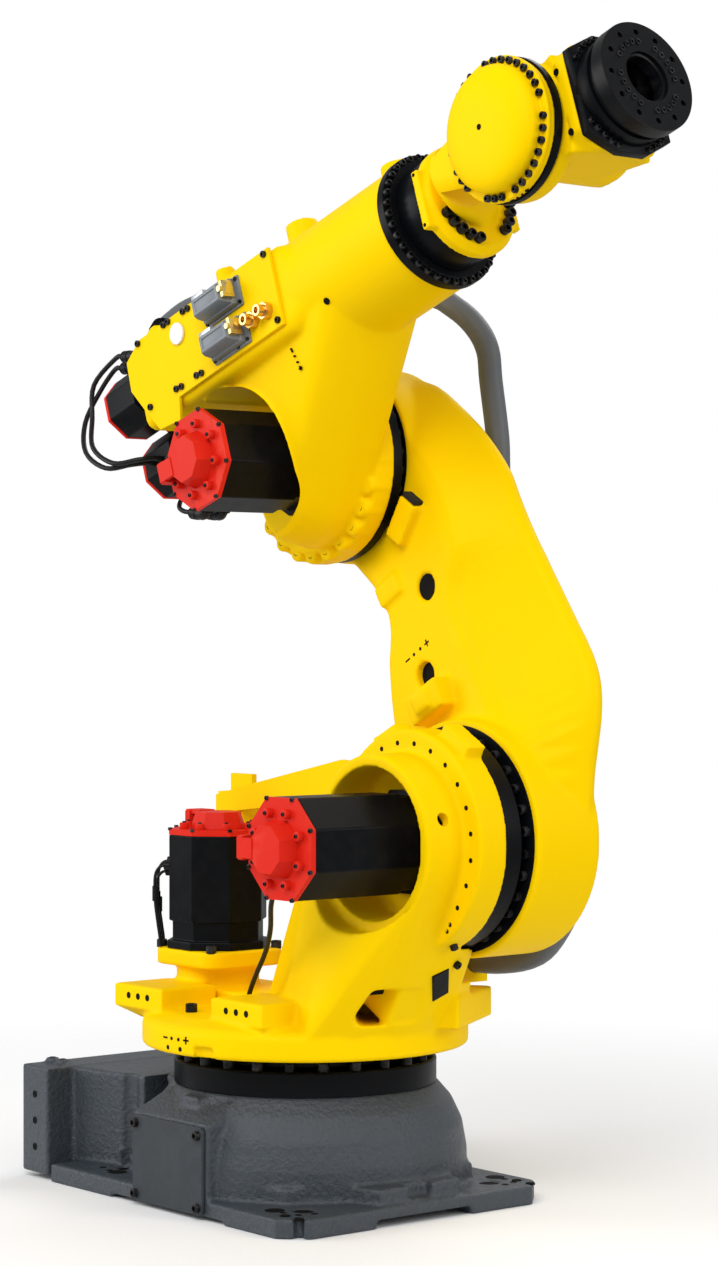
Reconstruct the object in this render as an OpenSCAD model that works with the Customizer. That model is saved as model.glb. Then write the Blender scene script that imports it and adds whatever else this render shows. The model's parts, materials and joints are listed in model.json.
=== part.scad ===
// Floor-mounted six-axis robot arm, photo pose. Millimetres, +X reach, +Z up.
// The origin lies on the floor face of the base, on the slewing axis.

/* [Axes] */
// height of the shoulder axis over the floor
shoulder_z = 670; // [600:1:740]
// distance of the shoulder axis ahead of the slewing axis
shoulder_x = 312; // [280:1:340]
// length of the lower arm from axis to axis
arm_len = 805; // [760:1:860]
// angle that the lower arm leans back
arm_lean = 31; // [10:1:45]
// angle that the forearm points up
pitch = 19; // [0:1:30]
// height of the forearm's roll axis over the elbow axis
elbow_offset = 225; // [210:1:245]
// distance of the roll joint ahead of the elbow axis
roll_x = 598; // [580:1:640]
// distance of the wrist axis ahead of the elbow axis
wrist_x = 915; // [895:1:960]
// distance of the tool face ahead of the wrist axis
tool_x = 225; // [215:1:245]

/* [Base] */
// width of the base plate
base_w = 600; // [580:2:680]
// reach of the base plate ahead of the slewing axis
base_front = 345; // [330:1:400]
// length of the base plate behind the slewing axis
base_rear = 400; // [380:1:404]
// thickness of the four feet
foot_h = 35; // [25:1:45]
// diameter of the anchor holes
anchor_d = 26; // [18:1:34]
// spacing of the anchor holes along the reach
anchor_x = 540; // [500:1:560]
// spacing of the anchor holes across
anchor_y = 430; // [400:1:450]
// radius of the slewing ring
ring_r = 243; // [235:1:250]

/* [Turntable] */
// radius of the turntable disc
disc_r = 302; // [295:1:320]
// radius of the shoulder flange
flange_r = 200; // [196:1:210]
// outer radius of the motor shroud
shroud_r = 154; // [148:1:160]
// radius of the opening for the motor
bore_r = 136; // [125:1:140]

/* [Lower arm] */
// radius of the arm at the shoulder
arm_low_r = 215; // [205:1:225]
// radius of the arm at the elbow
arm_top_r = 188; // [180:1:196]

/* [Motors] */
// width across flats of the three large motors
motor_w = 176; // [160:1:184]
// width across flats of the three wrist motors
wrist_motor_w = 118; // [106:1:121]

/* [Wrist] */
// radius of the forearm at the roll joint
roll_r = 126; // [120:1:132]
// radius of the wrist dome
dome_r = 122; // [118:1:126]
// radius of the tool flange
tool_r = 98; // [96:1:104]
// diameter of the tool bolt circle
tool_pcd = 160; // [150:1:168]
// diameter of the tool bolt holes
tool_hole_d = 10.2; // [8:0.1:12]

/* [Hoses] */
// diameter of the grey conduit
conduit_d = 45; // [36:1:50]
// diameter of the motor leads
lead_d = 10; // [8:1:14]

/* [Hidden] */
$fn = 64;
// radius of the slewing reducer's hub
hub_r = ring_r - 73;
// place of the slewing motor behind the axis
slew_motor_x = 102 - disc_r;
YEL = [1.0, 0.75, 0.02];
GREY = [0.24, 0.26, 0.28];
BLACK = [0.05, 0.05, 0.06];
RED = [0.80, 0.07, 0.04];
STEEL = [0.55, 0.57, 0.60];
BRASS = [0.75, 0.55, 0.25];
WHITE = [0.9, 0.9, 0.88];
HOSE = [0.42, 0.44, 0.46];
elbow_x = shoulder_x - arm_len * sin(arm_lean);
elbow_z = shoulder_z + arm_len * cos(arm_lean);
oct = 1 / cos(22.5);

// places children on the shoulder axis with Z along the lower arm
module arm_frame() translate([shoulder_x, 0, shoulder_z]) rotate([0, -arm_lean, 0]) children();
// places children on the elbow axis with X along the forearm
module fore_frame() translate([elbow_x, 0, elbow_z]) rotate([0, -pitch, 0]) children();
// places children on the roll axis with Z along the forearm
module roll_frame(x = 0) fore_frame() translate([x, 0, elbow_offset]) rotate([0, 90, 0]) children();
// a round bar along Y from y0 to y1
module ybar(r, y0, y1, n = 64) translate([0, y0, 0]) rotate([-90, 0, 0]) cylinder(r = r, h = y1 - y0, $fn = n);
// an octagonal bar along Y with flats at the sides
module yoct(w, y0, y1) translate([0, y0, 0]) rotate([-90, 0, 0]) rotate(22.5) cylinder(d = w * oct, h = y1 - y0, $fn = 8);
// a box between two corners
module box(a, b) translate(a) cube(b - a);

// points of one rounded section: x0..x1, y0..y1, corner radius r, k points a corner
function arc(cx, cy, r, a0, k) = [for (i = [0:k]) [cx + r * cos(a0 + 90 * i / k), cy + r * sin(a0 + 90 * i / k)]];
function rsec(x0, x1, y0, y1, r, k = 4) = concat(
    arc(x1 - r, y1 - r, r, 0, k), arc(x0 + r, y1 - r, r, 90, k),
    arc(x0 + r, y0 + r, r, 180, k), arc(x1 - r, y0 + r, r, 270, k));
function lift(p, z) = [for (q = p) [q[0], q[1], z]];
// skins a list of sections that have equal numbers of points
module skin(s) {
    n = len(s[0]);
    m = len(s);
    pts = [for (r = s) for (p = r) p];
    sides = [for (i = [0:m - 2]) for (j = [0:n - 1]) let (a = i * n + j, b = i * n + (j + 1) % n)
        each [[a, a + n, b], [b, a + n, b + n]]];
    polyhedron(pts, concat([[for (j = [0:n - 1]) j]], [[for (j = [n - 1:-1:0]) (m - 1) * n + j]], sides));
}

// points of a smooth route through p, k steps between neighbours
function spline(p, k) = let (n = len(p)) concat([for (i = [0:n - 2]) for (j = [0:k - 1])
    let (t = j / k, a = p[max(i - 1, 0)], b = p[i], c = p[i + 1], d = p[min(i + 2, n - 1)])
    0.5 * (2 * b + (c - a) * t + (2 * a - 5 * b + 4 * c - d) * t * t + (3 * b - a - 3 * c + d) * t * t * t)], [p[n - 1]]);
function unit(v) = v / norm(v);
// a round tube along a list of points, n sides
module tube(p, r, n = 16) {
    m = len(p);
    skin([for (i = [0:m - 1]) let (t = unit(p[min(i + 1, m - 1)] - p[max(i - 1, 0)]),
        u = unit(cross(t, abs(t[1]) > 0.9 ? [1, 0, 0] : [0, 1, 0])), v = cross(t, u))
        [for (j = [0:n - 1]) p[i] + r * (u * cos(360 * j / n) + v * sin(360 * j / n))]]);
}

// cast pedestal with four feet, rear box and side box
module base_casting() color(GREY) difference() {
    union() {
        linear_extrude(foot_h) polygon([[-base_rear, -base_w / 2], [base_front - 45, -base_w / 2],
            [base_front, -base_w / 2 + 45], [base_front, base_w / 2 - 45], [base_front - 45, base_w / 2], [-base_rear, base_w / 2]]);
        linear_extrude(64) polygon([[-300, -215], [90, -285], [225, -215], [262, -120], [base_front - 12, -92],
            [base_front - 12, 92], [262, 120], [225, 215], [90, 285], [-300, 215]]);
        rotate_extrude() polygon([[0, 5], [290, 5], [299, 40], [299, 92], [290, 142], [271, 182], [250, 206], [ring_r, 214], [0, 214]]);
        hull() {
            box([-412, -240, 8], [-404, 240, 212]);
            box([-262, -196, 5], [-240, 196, 208]);
        }
        box([-497, -302, 10], [-410, 302, 214]);
        hull() {
            box([-126, -base_w / 2, 4], [103, -200, 168]);
            box([-110, -232, 4], [90, -200, 208]);
        }
        for (x = [-470, -436], y = [-250, 250]) translate([x, y, 200]) cylinder(r = 13, h = 24, $fn = 24);
        translate([-190, -150, 200]) cylinder(r = 24, h = 14, $fn = 24);
    }
    for (x = [-1, 1], y = [-1, 1]) translate([x * anchor_x / 2, y * anchor_y / 2, -1]) {
        cylinder(d = anchor_d, h = foot_h + 60, $fn = 40);
        translate([0, 0, foot_h - 3]) cylinder(d = 44, h = 300, $fn = 40);
    }
    for (y = [-1, 1], x = [base_front - 20, base_front - 58]) translate([x, y * 268, -1])
        cylinder(d = 17, h = foot_h + 2, $fn = 24);
    for (y = [-1, 1]) translate([-25, y * (base_w / 2 - 20), 0]) cube([350, 120, 12], center = true);
    box([base_front - 60, -110, -1], [base_front + 1, 110, 14]);
    box([base_front - 34, -26, 40], [base_front + 1, 26, 70]);
    translate([0, 0, 60]) cylinder(r = hub_r - 20, h = 200);
    box([-498, -250, 45], [-470, 250, 175]);
    for (z = [60, 110, 160]) translate([-452, -303, z]) rotate([-90, 0, 0]) cylinder(d = 14, h = 20, $fn = 20);
}

// flat cover on the side box
module base_side_cover() color(GREY) translate([0, -base_w / 2, 0]) rotate([90, 0, 0]) linear_extrude(8)
    polygon([[-119, 14], [-113, 8], [90, 8], [96, 14], [96, 159], [90, 165], [-113, 165], [-119, 159]]);

// plate that closes the rear box
module rear_connector_plate() color(STEEL) box([-505, -278, 32], [-497, 278, 192]);

// connector housings on the rear plate
module rear_connectors() color(BLACK) for (y = [-180, -40, 100]) difference() {
    box([-545, y, 70], [-505, y + 110, 150]);
    box([-546, y + 10, 80], [-515, y + 100, 140]);
}

// fixed ring of the slewing reducer
module slew_ring() color(BLACK)
    rotate_extrude() polygon([[hub_r + 0.3, 214], [ring_r, 214], [ring_r, 256], [ring_r - 3, 259], [hub_r + 0.3, 259]]);

// driven hub of the slewing reducer
module slew_hub() color(BLACK)
    rotate_extrude() polygon([[hub_r - 80, 224], [hub_r, 224], [hub_r, 265], [hub_r + 42, 265], [hub_r + 42, 284], [hub_r - 80, 284]]);

// outline of the column where it leaves the disc
foot_line = [[238, -182], [278, -112], [299, -30], [299, 30], [278, 112], [238, 182], [60, 195], [-50, 120], [-50, -56], [118, -150]];
// cast turntable with deck, column and pads
module turntable_casting() color(YEL) difference() {
    union() {
        rotate_extrude() polygon([[0, 284], [disc_r - 4, 284], [disc_r, 288], [disc_r, 326], [disc_r - 10, 336], [255, 346], [0, 350]]);
        translate([slew_motor_x, -54, 340]) cylinder(r = 78, h = 80, $fn = 40);
        translate([slew_motor_x, -54, 414]) linear_extrude(32) polygon(rsec(-92, 100, -92, 92, 34));
        translate([slew_motor_x - 60, -110, 330]) box([0, 0, 0], [230, 180, 44]);
        hull() {
            translate([0, 0, 320]) linear_extrude(26) polygon(foot_line);
            translate([shoulder_x, 0, shoulder_z]) ybar(shroud_r + 4, -96, 45, 48);
        }
        for (x = [-268, 36]) hull() {
            box([x, -244, 344], [x + 152, -120, 386]);
            box([x + 20, -200, 320], [x + 132, -120, 330]);
        }
        rotate(33) box([200, -112, 330], [328, 112, 386]);
    }
    translate([shoulder_x, 0, shoulder_z]) {
        ybar(shroud_r + 0.2, -200, 0);
        ybar(flange_r + 0.2, -18, 200);
        ybar(258, 97, 320);
    }
    translate([0, 0, 283]) cylinder(r = hub_r - 80, h = 60);
    for (x = [-268, 36], dx = [46, 76, 106]) translate([x + dx, -245, 366]) rotate([-90, 0, 0]) cylinder(d = 11, h = 24, $fn = 20);
    rotate(-39) hull() for (p = [[108, 364], [190, 364], [200, 400], [132, 400]]) translate([110, p[0], p[1]]) rotate([0, 90, 0]) cylinder(r = 16, h = 260, $fn = 24);
    rotate(-75) translate([disc_r - 12, -22, 280]) cube([40, 44, 24]);
}

// shoulder tube that holds the motor
module shoulder_housing() color(YEL) translate([shoulder_x, 0, shoulder_z]) difference() {
    union() {
        ybar(flange_r, -18, 45);
        ybar(shroud_r, -100, -17);
        rotate([0, 30, 0]) box([-40, 4, 180], [40, 44, 222]);
        rotate([0, -25, 0]) box([-34, 4, 180], [34, 44, 214]);
    }
    ybar(bore_r, -300, -10);
    ybar(90, -300, 46);
    for (i = [0:23]) rotate([0, 7.5 + 15 * i, 0]) translate([0, -19, 176]) rotate([-90, 0, 0]) cylinder(d = 10, h = 16, $fn = 16);
    rotate([0, 72, 0]) translate([0, -60, 120]) cylinder(d = 26, h = 60, $fn = 24);
}

// servo motor body along Y, flange end at y1
module motor_body(w, y0, y1) {
    yoct(w, y0, y1 - 52);
    yoct(w * 0.93, y1 - 53, y1 - 15);
    yoct(w * 1.04, y1 - 16, y1);
}
// end cap with raised cover and guard, its seat at y0
module motor_cap(w, y0) {
    yoct(w, y0 - 10, y0);
    hull() {
        yoct(w * 0.56, y0 - 12, y0 - 9);
        yoct(w * 0.46, y0 - 42, y0 - 40);
    }
    hull() {
        box([-w * 0.44, y0 - 40, -w * 0.12], [-w * 0.36, y0 - 9, w * 0.12]);
        box([-w * 0.44, y0 - 44, -w * 0.1], [-w * 0.36, y0 - 43, w * 0.1]);
    }
    box([-w * 0.44, y0 - 44, -w * 0.1], [-w * 0.2, y0 - 36, w * 0.1]);
}

module slew_motor() color(BLACK) translate([slew_motor_x, -54, 0]) rotate([-90, 0, 0]) motor_body(motor_w, -660, -446);
module slew_motor_cap() color(RED) translate([slew_motor_x, -54, 0]) rotate([-90, 0, 0]) motor_cap(motor_w, -660);
module shoulder_motor() color(BLACK) translate([shoulder_x, 0, shoulder_z]) motor_body(motor_w, -290, -10);
module shoulder_motor_cap() color(RED) translate([shoulder_x, 0, shoulder_z]) motor_cap(motor_w, -290);

// fixed ring of the shoulder reducer
module shoulder_ring() color(BLACK) translate([shoulder_x, 0, shoulder_z]) difference() {
    union() {
        ybar(flange_r - 4, 45, 82);
        ybar(158, 81, 97);
    }
    ybar(120.3, 44, 98);
}

// beam behind the shoulder that carries cables
module cable_bracket() color(YEL) difference() {
    union() {
    translate([0, 46, 0]) rotate([90, 0, 0]) linear_extrude(10)
        polygon([[160, 800], [150, 742], [-230, 700], [-330, 690], [-330, 726], [-250, 744], [60, 806]]);
    box([-336, 46, 664], [-256, 96, 732]);
    box([-300, 50, 730], [-232, 62, 768]);
    box([112, 36, 748], [150, 59, 796]);
    }
    translate([shoulder_x, 0, shoulder_z]) ybar(flange_r + 0.2, -40, 70);
}
// clamp that holds the conduit on the turntable
module hose_clamp() color(YEL) difference() {
    union() {
        box([96, 246, 386], [156, 312, 454]);
        box([96, 214, 386], [156, 250, 404]);
    }
    translate([95, 284, 428]) rotate([0, 90, 0]) cylinder(d = conduit_d + 4, h = 70, $fn = 40);
}

// driven hub of the shoulder reducer, part of the lower arm
module shoulder_hub() color(BLACK) arm_frame() difference() {
    ybar(120, 66, 110);
    ybar(60, 65, 111);
}

// stations of the lower arm: height, rear, front of inner face, front of outer face, inner y, outer y
stations = [[-70, -196, 172, 204, 106, 252], [0, -206, 190, 252, 108, 254], [70, -198, 188, 308, 118, 258], [130, -178, 172, 336, 132, 264],
    [190, -152, 156, 340, 145, 270], [260, -128, 148, 330, 154, 276], [340, -104, 150, 320, 159, 281], [410, -76, 152, 312, 163, 285],
    [455, -48, 172, 306, 166, 288], [500, -38, 206, 302, 169, 291], [550, -48, 214, 300, 172, 294], [600, -70, 216, 300, 176, 297],
    [660, -98, 212, 288, 179, 300], [730, -140, 196, 266, 180, 302], [800, -166, 172, 236, 180, 302], [860, -160, 146, 204, 180, 302], [915, -120, 110, 150, 180, 302]];
// one section of the lower arm with rounded edges
function asec(s) = let (z = s[0] * arm_len / 805, r = s[1], fi = s[2], fo = s[3], yi = s[4], yo = s[5]) [
    [r + 12, yi, z], [fi - 34, yi, z], [fi - 12, yi + 5, z], [fi + 6, yi + 20, z],
    [fo - 8, yo - 40, z], [fo, yo - 24, z], [fo - 6, yo - 9, z], [fo - 24, yo, z],
    [r + 26, yo, z], [r + 6, yo - 8, z], [r, yo - 24, z], [r, yi + 12, z]];
// cast lower arm with a boss at each end
module lower_arm_casting() color(YEL) arm_frame() difference() {
    union() {
        skin([for (s = spline(stations, 2)) asec(s)]);
        ybar(arm_low_r, 104, 254);
        translate([0, 0, arm_len]) ybar(arm_top_r, 180, 302);
        rotate([0, 3, 0]) box([-34, 116, 240], [62, 164, 298]);
        rotate([0, 3, 0]) box([-8, 106, 250], [36, 118, 288]);
        translate([0, 0, arm_len]) rotate([0, 152, 0]) box([-46, 152, 196], [40, 188, 244]);
        translate([0, 0, arm_len * 0.653]) box([-34, 160, -22], [34, 174, 22]);
    }
    translate([92, 0, arm_len * 0.591]) ybar(25, 100, 240);
    translate([15, 0, arm_len * 0.412]) ybar(25, 100, 240);
    ybar(120, 100, 110);
    translate([0, 0, arm_len]) ybar(120, 170, 190);
    ybar(150, 240, 270);
    translate([0, 0, arm_len]) ybar(130, 290, 310);
}
// driven hub of the elbow reducer
module elbow_hub() color(BLACK) arm_frame() translate([0, 0, arm_len]) difference() {
    ybar(120, 146, 190);
    ybar(60, 145, 191);
}
// rubber stop on the arm near the elbow
module arm_bumper() color(BLACK) arm_frame() translate([0, 0, arm_len]) rotate([0, 152, 0]) box([-56, 155, 200], [-46, 176, 240]);

// places in the arm's and the forearm's frame brought to the floor's
function from_arm(p) = [shoulder_x + p[0] * cos(arm_lean) - p[2] * arm_len / 805 * sin(arm_lean), p[1], shoulder_z + p[0] * sin(arm_lean) + p[2] * arm_len / 805 * cos(arm_lean)];
function from_fore(p) = [elbow_x + p[0] * cos(pitch) - p[2] * sin(pitch), p[1], elbow_z + p[0] * sin(pitch) + p[2] * cos(pitch)];
// the conduit's route, from the turntable clamp over the arm to the rear box
route = concat([[100, 284, 428], [210, 285, 428], [330, 287, 454], [432, 290, 524]],
    [for (p = [[134, 296, -127], [196, 304, -12], [216, 314, 162], [232, 326, 351], [246, 334, 506], [254, 338, 629], [266, 338, 715], [282, 334, 799]]) from_arm(p)],
    [for (p = [[258, 324, 165], [190, 309, 192], [122, 284, 224], [60, 251, 264], [5, 222, 318], [-45, 178, 362], [-88, 122, 389], [-122, 59, 394],
        [-146, -1, 378], [-158, -41, 353], [-162, -53, 342.5], [-164, -62.9, 330.7]]) from_fore(p)]);
module conduit_lower() color(HOSE) tube(spline([for (i = [0:7]) route[i]], 5), conduit_d / 2);
module conduit_upper() color(HOSE) tube(concat([route[7] + [-0.4, 0, 0.7]], [for (p = spline([for (i = [7:len(route) - 1]) route[i]], 5)) if (p[2] > route[7][2] + 6 || p[0] < 0) p]), conduit_d / 2);
// clamp that holds the conduit on the arm
module arm_clamp() color(BLACK) translate([330, 326, 1090]) rotate([0, -arm_lean + 5, 0]) difference() {
    box([-34, -43, -16], [34, 30, 16]);
    translate([0, 0, -40]) cylinder(d = conduit_d + 7, h = 80, $fn = 40);
}

// turns of the bolt bosses round the elbow, from straight up towards the front
boss_turns = [108, 124, 139, 154, 169, 184, 199, 214, 231, 248];
// cast forearm: elbow casing, tube and rear box
module forearm_casting() color(YEL) fore_frame() difference() {
    union() {
        difference() {
            hull() {
                ybar(168, 50, 108, 48);
                ybar(160, 20, 100, 40);
                ybar(148, -10, 100, 40);
                translate([20, 0, 20]) ybar(134, -42, 100, 40);
                box([-30, -80, 130], [300, 104, 290]);
                translate([386, 0, elbow_offset]) rotate([0, 90, 0]) cylinder(r = 118, h = 4, $fn = 40);
            }
            box([-300, -200, -300], [-14, 84, 140]);
        }
        ybar(188, 104, 145);
        for (a = boss_turns) rotate([0, a, 0]) translate([0, 92, 172]) rotate([-90, 0, 0]) cylinder(r = 18, h = 46, $fn = 24);
        translate([-164, -62.9, 330.7]) rotate([-40, 0, 0]) translate([0, 0, -52]) cylinder(r = 28, h = 48.5, $fn = 40);
        translate([0, 0, elbow_offset]) {
            skin([[for (p = rsec(-86, 86, -120, 124, 20)) [-195, -p[1], p[0]]],
                [for (p = rsec(-86, 86, -120, 124, 20)) [276, -p[1], p[0]]],
                [for (p = rsec(-80, 80, -112, 112, 60)) [330, -p[1], p[0]]]]);
            rotate([0, 90, 0]) translate([0, 0, 190]) cylinder(r1 = 124, r2 = 121, h = roll_x - 24 - 190);
        }
        translate([218, 10, 300]) cylinder(r = 31, h = 93, $fn = 40);
        translate([311, 20, 300]) cylinder(r = 20, h = 64, $fn = 32);
        translate([392, 20, 300]) cylinder(r = 20, h = 62, $fn = 32);
        translate([504, 10, 300]) cylinder(r = 30, h = 75, $fn = 40);
    }
    ybar(bore_r + 3, -200, 60);
    ybar(95, -200, 146);
    for (a = boss_turns) rotate([0, a, 0]) translate([0, 91, 172]) rotate([-90, 0, 0]) cylinder(d = 12, h = 22, $fn = 16);
}
// bolted flange between elbow casing and reducer
module elbow_flange() color(BLACK) fore_frame() difference() {
    union() {
        ybar(186, 145, 166);
        ybar(150, 165, 174);
    }
    ybar(120.3, 144, 175);
}
module elbow_motor() color(BLACK) fore_frame() motor_body(motor_w, -165, 60);
module elbow_motor_cap() color(RED) fore_frame() motor_cap(motor_w, -165);

// plate on the side of the rear box
module side_panel() color(YEL) fore_frame() translate([0, -124, 0]) rotate([90, 0, 0]) linear_extrude(8)
    polygon([[-156, 310], [274, 308], [272, 157], [-68, 155], [-79, 113], [-146, 120], [-167, 151], [-212, 225], [-209, 284]]);
// rectangular connectors on the panel
module panel_connectors() color(STEEL) fore_frame() for (z = [166, 240]) {
    box([62, -138, z - 3], [178, -132, z + 57]);
    hull() {
        box([72, -152, z + 2], [168, -137, z + 52]);
        box([78, -178, z + 8], [162, -170, z + 46]);
    }
}
// two brass air fittings
module air_fittings() color(BRASS) fore_frame() for (x = [196, 238]) translate([x, 0, 197]) {
    yoct(30, -146, -132);
    difference() {
        ybar(11, -160, -145, 32);
        ybar(6, -161, -150, 24);
    }
}
module panel_cap() color(WHITE) fore_frame() translate([-32, 0, 269]) ybar(21, -138, -132, 40);

// places of the wrist motors across and up
wrist_spots = [[-61, 232], [61, 232], [0, 108]];
// turns Y bars so that they run back from the rear box
module back_frame(p) fore_frame() translate([0, p[0], p[1]]) rotate([0, 0, 90]) children();
// three wrist motors behind the box
module wrist_motors() color(BLACK) for (p = wrist_spots) back_frame(p) {
    yoct(wrist_motor_w, 196, 210);
    yoct(wrist_motor_w * 0.9, 209, 224);
    yoct(wrist_motor_w, 223, 312);
}
// red caps of the wrist motors
module wrist_motor_caps() color(RED) for (p = wrist_spots) back_frame(p) {
    yoct(wrist_motor_w, 312, 320);
    yoct(wrist_motor_w * 0.52, 319, 350);
}
// plug elbows on the wrist motors: place and height in the forearm
elbow_spots = [[-290, -52, 292], [-238, -84, 292], [-290, 66, 292], [-238, 40, 292]];
module lead_elbows() color(BLACK) fore_frame() for (p = elbow_spots) translate(p) {
    translate([0, 0, -0.5]) cylinder(r = 15, h = 34, $fn = 24);
    translate([0, 0, 22]) rotate([0, -70, 0]) cylinder(r = 12, h = 44, $fn = 24);
}
// leads that loop from the plug elbows to the box
module motor_leads() color(BLACK) fore_frame() for (p = elbow_spots) let (e = p + [-42.6, 0, 37.6], q = p[1] < 10 ? -1 : 1, k = (p[0] + 264) / 2)
    tube(spline([e, e + [-22, 0, 7], [-376 + k, p[1] + q * 20, 304], [-392 + k, q * 112, 240], [-376 + k, q * 136, 170],
        [-322 + k, q * 136, 116], [-276 + k, q * 110, 106], [-264 + k, q * 82, 106], [-264 + k, q * 60.2, 106]], 5), lead_d / 2, 10);

// fixed ring of the roll joint
module roll_ring() color(BLACK) roll_frame() difference() {
    union() {
        translate([0, 0, roll_x - 24]) cylinder(r = roll_r, h = 18);
        translate([0, 0, roll_x - 7]) cylinder(r = roll_r - 12, h = 7);
    }
    translate([0, 0, roll_x - 25]) cylinder(r = 80.3, h = 26);
}

// one-sided wrist housing that rolls
module wrist_yoke() color(YEL) {
    roll_frame() translate([0, 0, roll_x - 18]) difference() {
        union() {
            cylinder(r = 80, h = 40);
            translate([0, 0, 24]) cylinder(r = 110, h = 30);
        }
        translate([0, 0, -1]) cylinder(r = 40, h = 30);
    }
    fore_frame() difference() {
        union() {
            hull() {
                translate([roll_x + 30, -6, elbow_offset]) rotate([0, 90, 0]) cylinder(r = 92, h = 6, $fn = 40);
                translate([roll_x + 78, -44, elbow_offset]) rotate([0, 90, 0]) cylinder(r = 80, h = 4, $fn = 40);
            }
            hull() {
                translate([roll_x + 76, -46, elbow_offset]) rotate([0, 90, 0]) cylinder(r = 80, h = 4, $fn = 40);
                translate([wrist_x, 0, elbow_offset]) ybar(119, -128, -116, 48);
            }
            for (a = [-52, 128]) translate([roll_x + 20, 0, elbow_offset]) rotate([a, 0, 0]) box([0, -44, 80], [30, 44, 116]);
        }
        translate([wrist_x, 0, elbow_offset]) {
            ybar(210, -116, 200);
            ybar(60.3, -140, 10);
        }
    }
}
// domed cover on the wrist
module dome_cover() color(YEL) fore_frame() translate([wrist_x, -128, elbow_offset]) rotate([90, 0, 0])
    rotate_extrude() polygon([[0, 0], [dome_r, 0], [dome_r, 6], [dome_r - 2, 8], [dome_r - 17, 8], [104.5, 15], [102.5, 22], [98, 29], [90, 35], [76, 40], [58, 44], [36, 47], [16, 48.6], [0, 49]]);
// seal ring of the wrist joint
module wrist_ring() color(BLACK) fore_frame() translate([wrist_x, 0, elbow_offset]) difference() {
    ybar(dome_r, -116, -102);
    ybar(60.3, -117, -101);
}
// wrist block that bends
module wrist_block() color(YEL) fore_frame() translate([wrist_x, 0, elbow_offset]) difference() {
    union() {
        ybar(60, -122, 60);
        ybar(dome_r - 5, -96.5, -74);
        hull() {
            ybar(dome_r - 7, -80, -66, 48);
            ybar(84, -34, -30, 48);
        }
        hull() {
            ybar(74, -60, 56, 48);
            box([116, -90, -90], [122, 90, 90]);
        }
        box([118, -95, -95], [140, 95, 95]);
        hull() {
            ybar(74, 52, 102, 48);
            box([50, 40, -56], [110, 84, 56]);
        }
        ybar(66, 100, 118);
    }
    rotate([0, 90, 0]) translate([0, 0, 100]) cylinder(r = 60.3, h = 60);
    for (y = [-1, 1], z = [-1, 1]) translate([130, y * 95, z * 95]) rotate([45, 0, 0]) cube([40, 46, 46], center = true);
}
// dark octagonal plate behind the flange
module tool_plate() color(BLACK) fore_frame() translate([wrist_x + 140, 0, elbow_offset]) rotate([0, 90, 0]) difference() {
    union() {
        rotate(22.5) cylinder(d = 212 * oct, h = 18, $fn = 8);
        cylinder(r = 90, h = 52);
    }
    translate([0, 0, -1]) cylinder(r = 60.3, h = 60);
}
// tool flange with its bolt circle
module tool_flange() color(BLACK) fore_frame() translate([wrist_x, 0, elbow_offset]) rotate([0, 90, 0]) difference() {
    union() {
        translate([0, 0, 104]) cylinder(r = 60, h = 95);
        translate([0, 0, 198]) cylinder(r = tool_r, h = tool_x - 198);
    }
    translate([0, 0, tool_x - 8]) cylinder(r = 45, h = 10);
    for (i = [0:11]) rotate(i * 30) translate([tool_pcd / 2, 0, tool_x - 22]) cylinder(d = tool_hole_d, h = 24, $fn = 24);
}

base_casting();
base_side_cover();
rear_connector_plate();
rear_connectors();
slew_ring();
slew_hub();
turntable_casting();
shoulder_housing();
slew_motor();
slew_motor_cap();
shoulder_motor();
shoulder_motor_cap();
shoulder_ring();
cable_bracket();
hose_clamp();
lower_arm_casting();
shoulder_hub();
elbow_hub();
arm_bumper();
arm_clamp();
conduit_lower();
conduit_upper();
forearm_casting();
elbow_flange();
elbow_motor();
elbow_motor_cap();
side_panel();
panel_connectors();
air_fittings();
panel_cap();
wrist_motors();
wrist_motor_caps();
lead_elbows();
motor_leads();
roll_ring();
wrist_yoke();
dome_cover();
wrist_ring();
wrist_block();
tool_plate();
tool_flange();
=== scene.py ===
"""A large six-axis robot arm for factory floors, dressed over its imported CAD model."""

import json
import logging
import math
from dataclasses import dataclass
from enum import Enum
from typing import Any, Callable, Iterable, Sequence

import bpy
from mathutils import Matrix, Vector

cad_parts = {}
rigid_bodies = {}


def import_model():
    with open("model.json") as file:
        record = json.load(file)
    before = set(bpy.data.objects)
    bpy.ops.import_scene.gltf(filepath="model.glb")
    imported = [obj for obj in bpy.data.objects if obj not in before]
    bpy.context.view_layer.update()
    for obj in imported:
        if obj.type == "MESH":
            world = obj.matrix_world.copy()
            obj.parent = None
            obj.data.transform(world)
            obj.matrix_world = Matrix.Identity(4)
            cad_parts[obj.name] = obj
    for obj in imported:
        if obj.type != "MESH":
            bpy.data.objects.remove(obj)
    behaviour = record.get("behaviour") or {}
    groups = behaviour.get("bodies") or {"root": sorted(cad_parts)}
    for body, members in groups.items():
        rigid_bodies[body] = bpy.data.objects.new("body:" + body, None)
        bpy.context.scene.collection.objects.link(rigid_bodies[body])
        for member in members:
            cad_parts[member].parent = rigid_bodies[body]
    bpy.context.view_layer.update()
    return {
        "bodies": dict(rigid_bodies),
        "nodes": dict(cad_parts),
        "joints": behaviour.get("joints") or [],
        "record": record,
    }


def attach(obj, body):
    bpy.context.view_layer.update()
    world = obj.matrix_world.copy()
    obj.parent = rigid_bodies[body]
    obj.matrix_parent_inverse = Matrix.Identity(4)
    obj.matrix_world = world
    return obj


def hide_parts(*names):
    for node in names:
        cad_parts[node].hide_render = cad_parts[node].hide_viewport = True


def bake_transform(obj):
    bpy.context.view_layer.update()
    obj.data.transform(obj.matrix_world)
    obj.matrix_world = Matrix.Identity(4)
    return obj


log = logging.getLogger("robot_arm")
Point = Sequence[float]
Colour = tuple[float, float, float]


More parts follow.
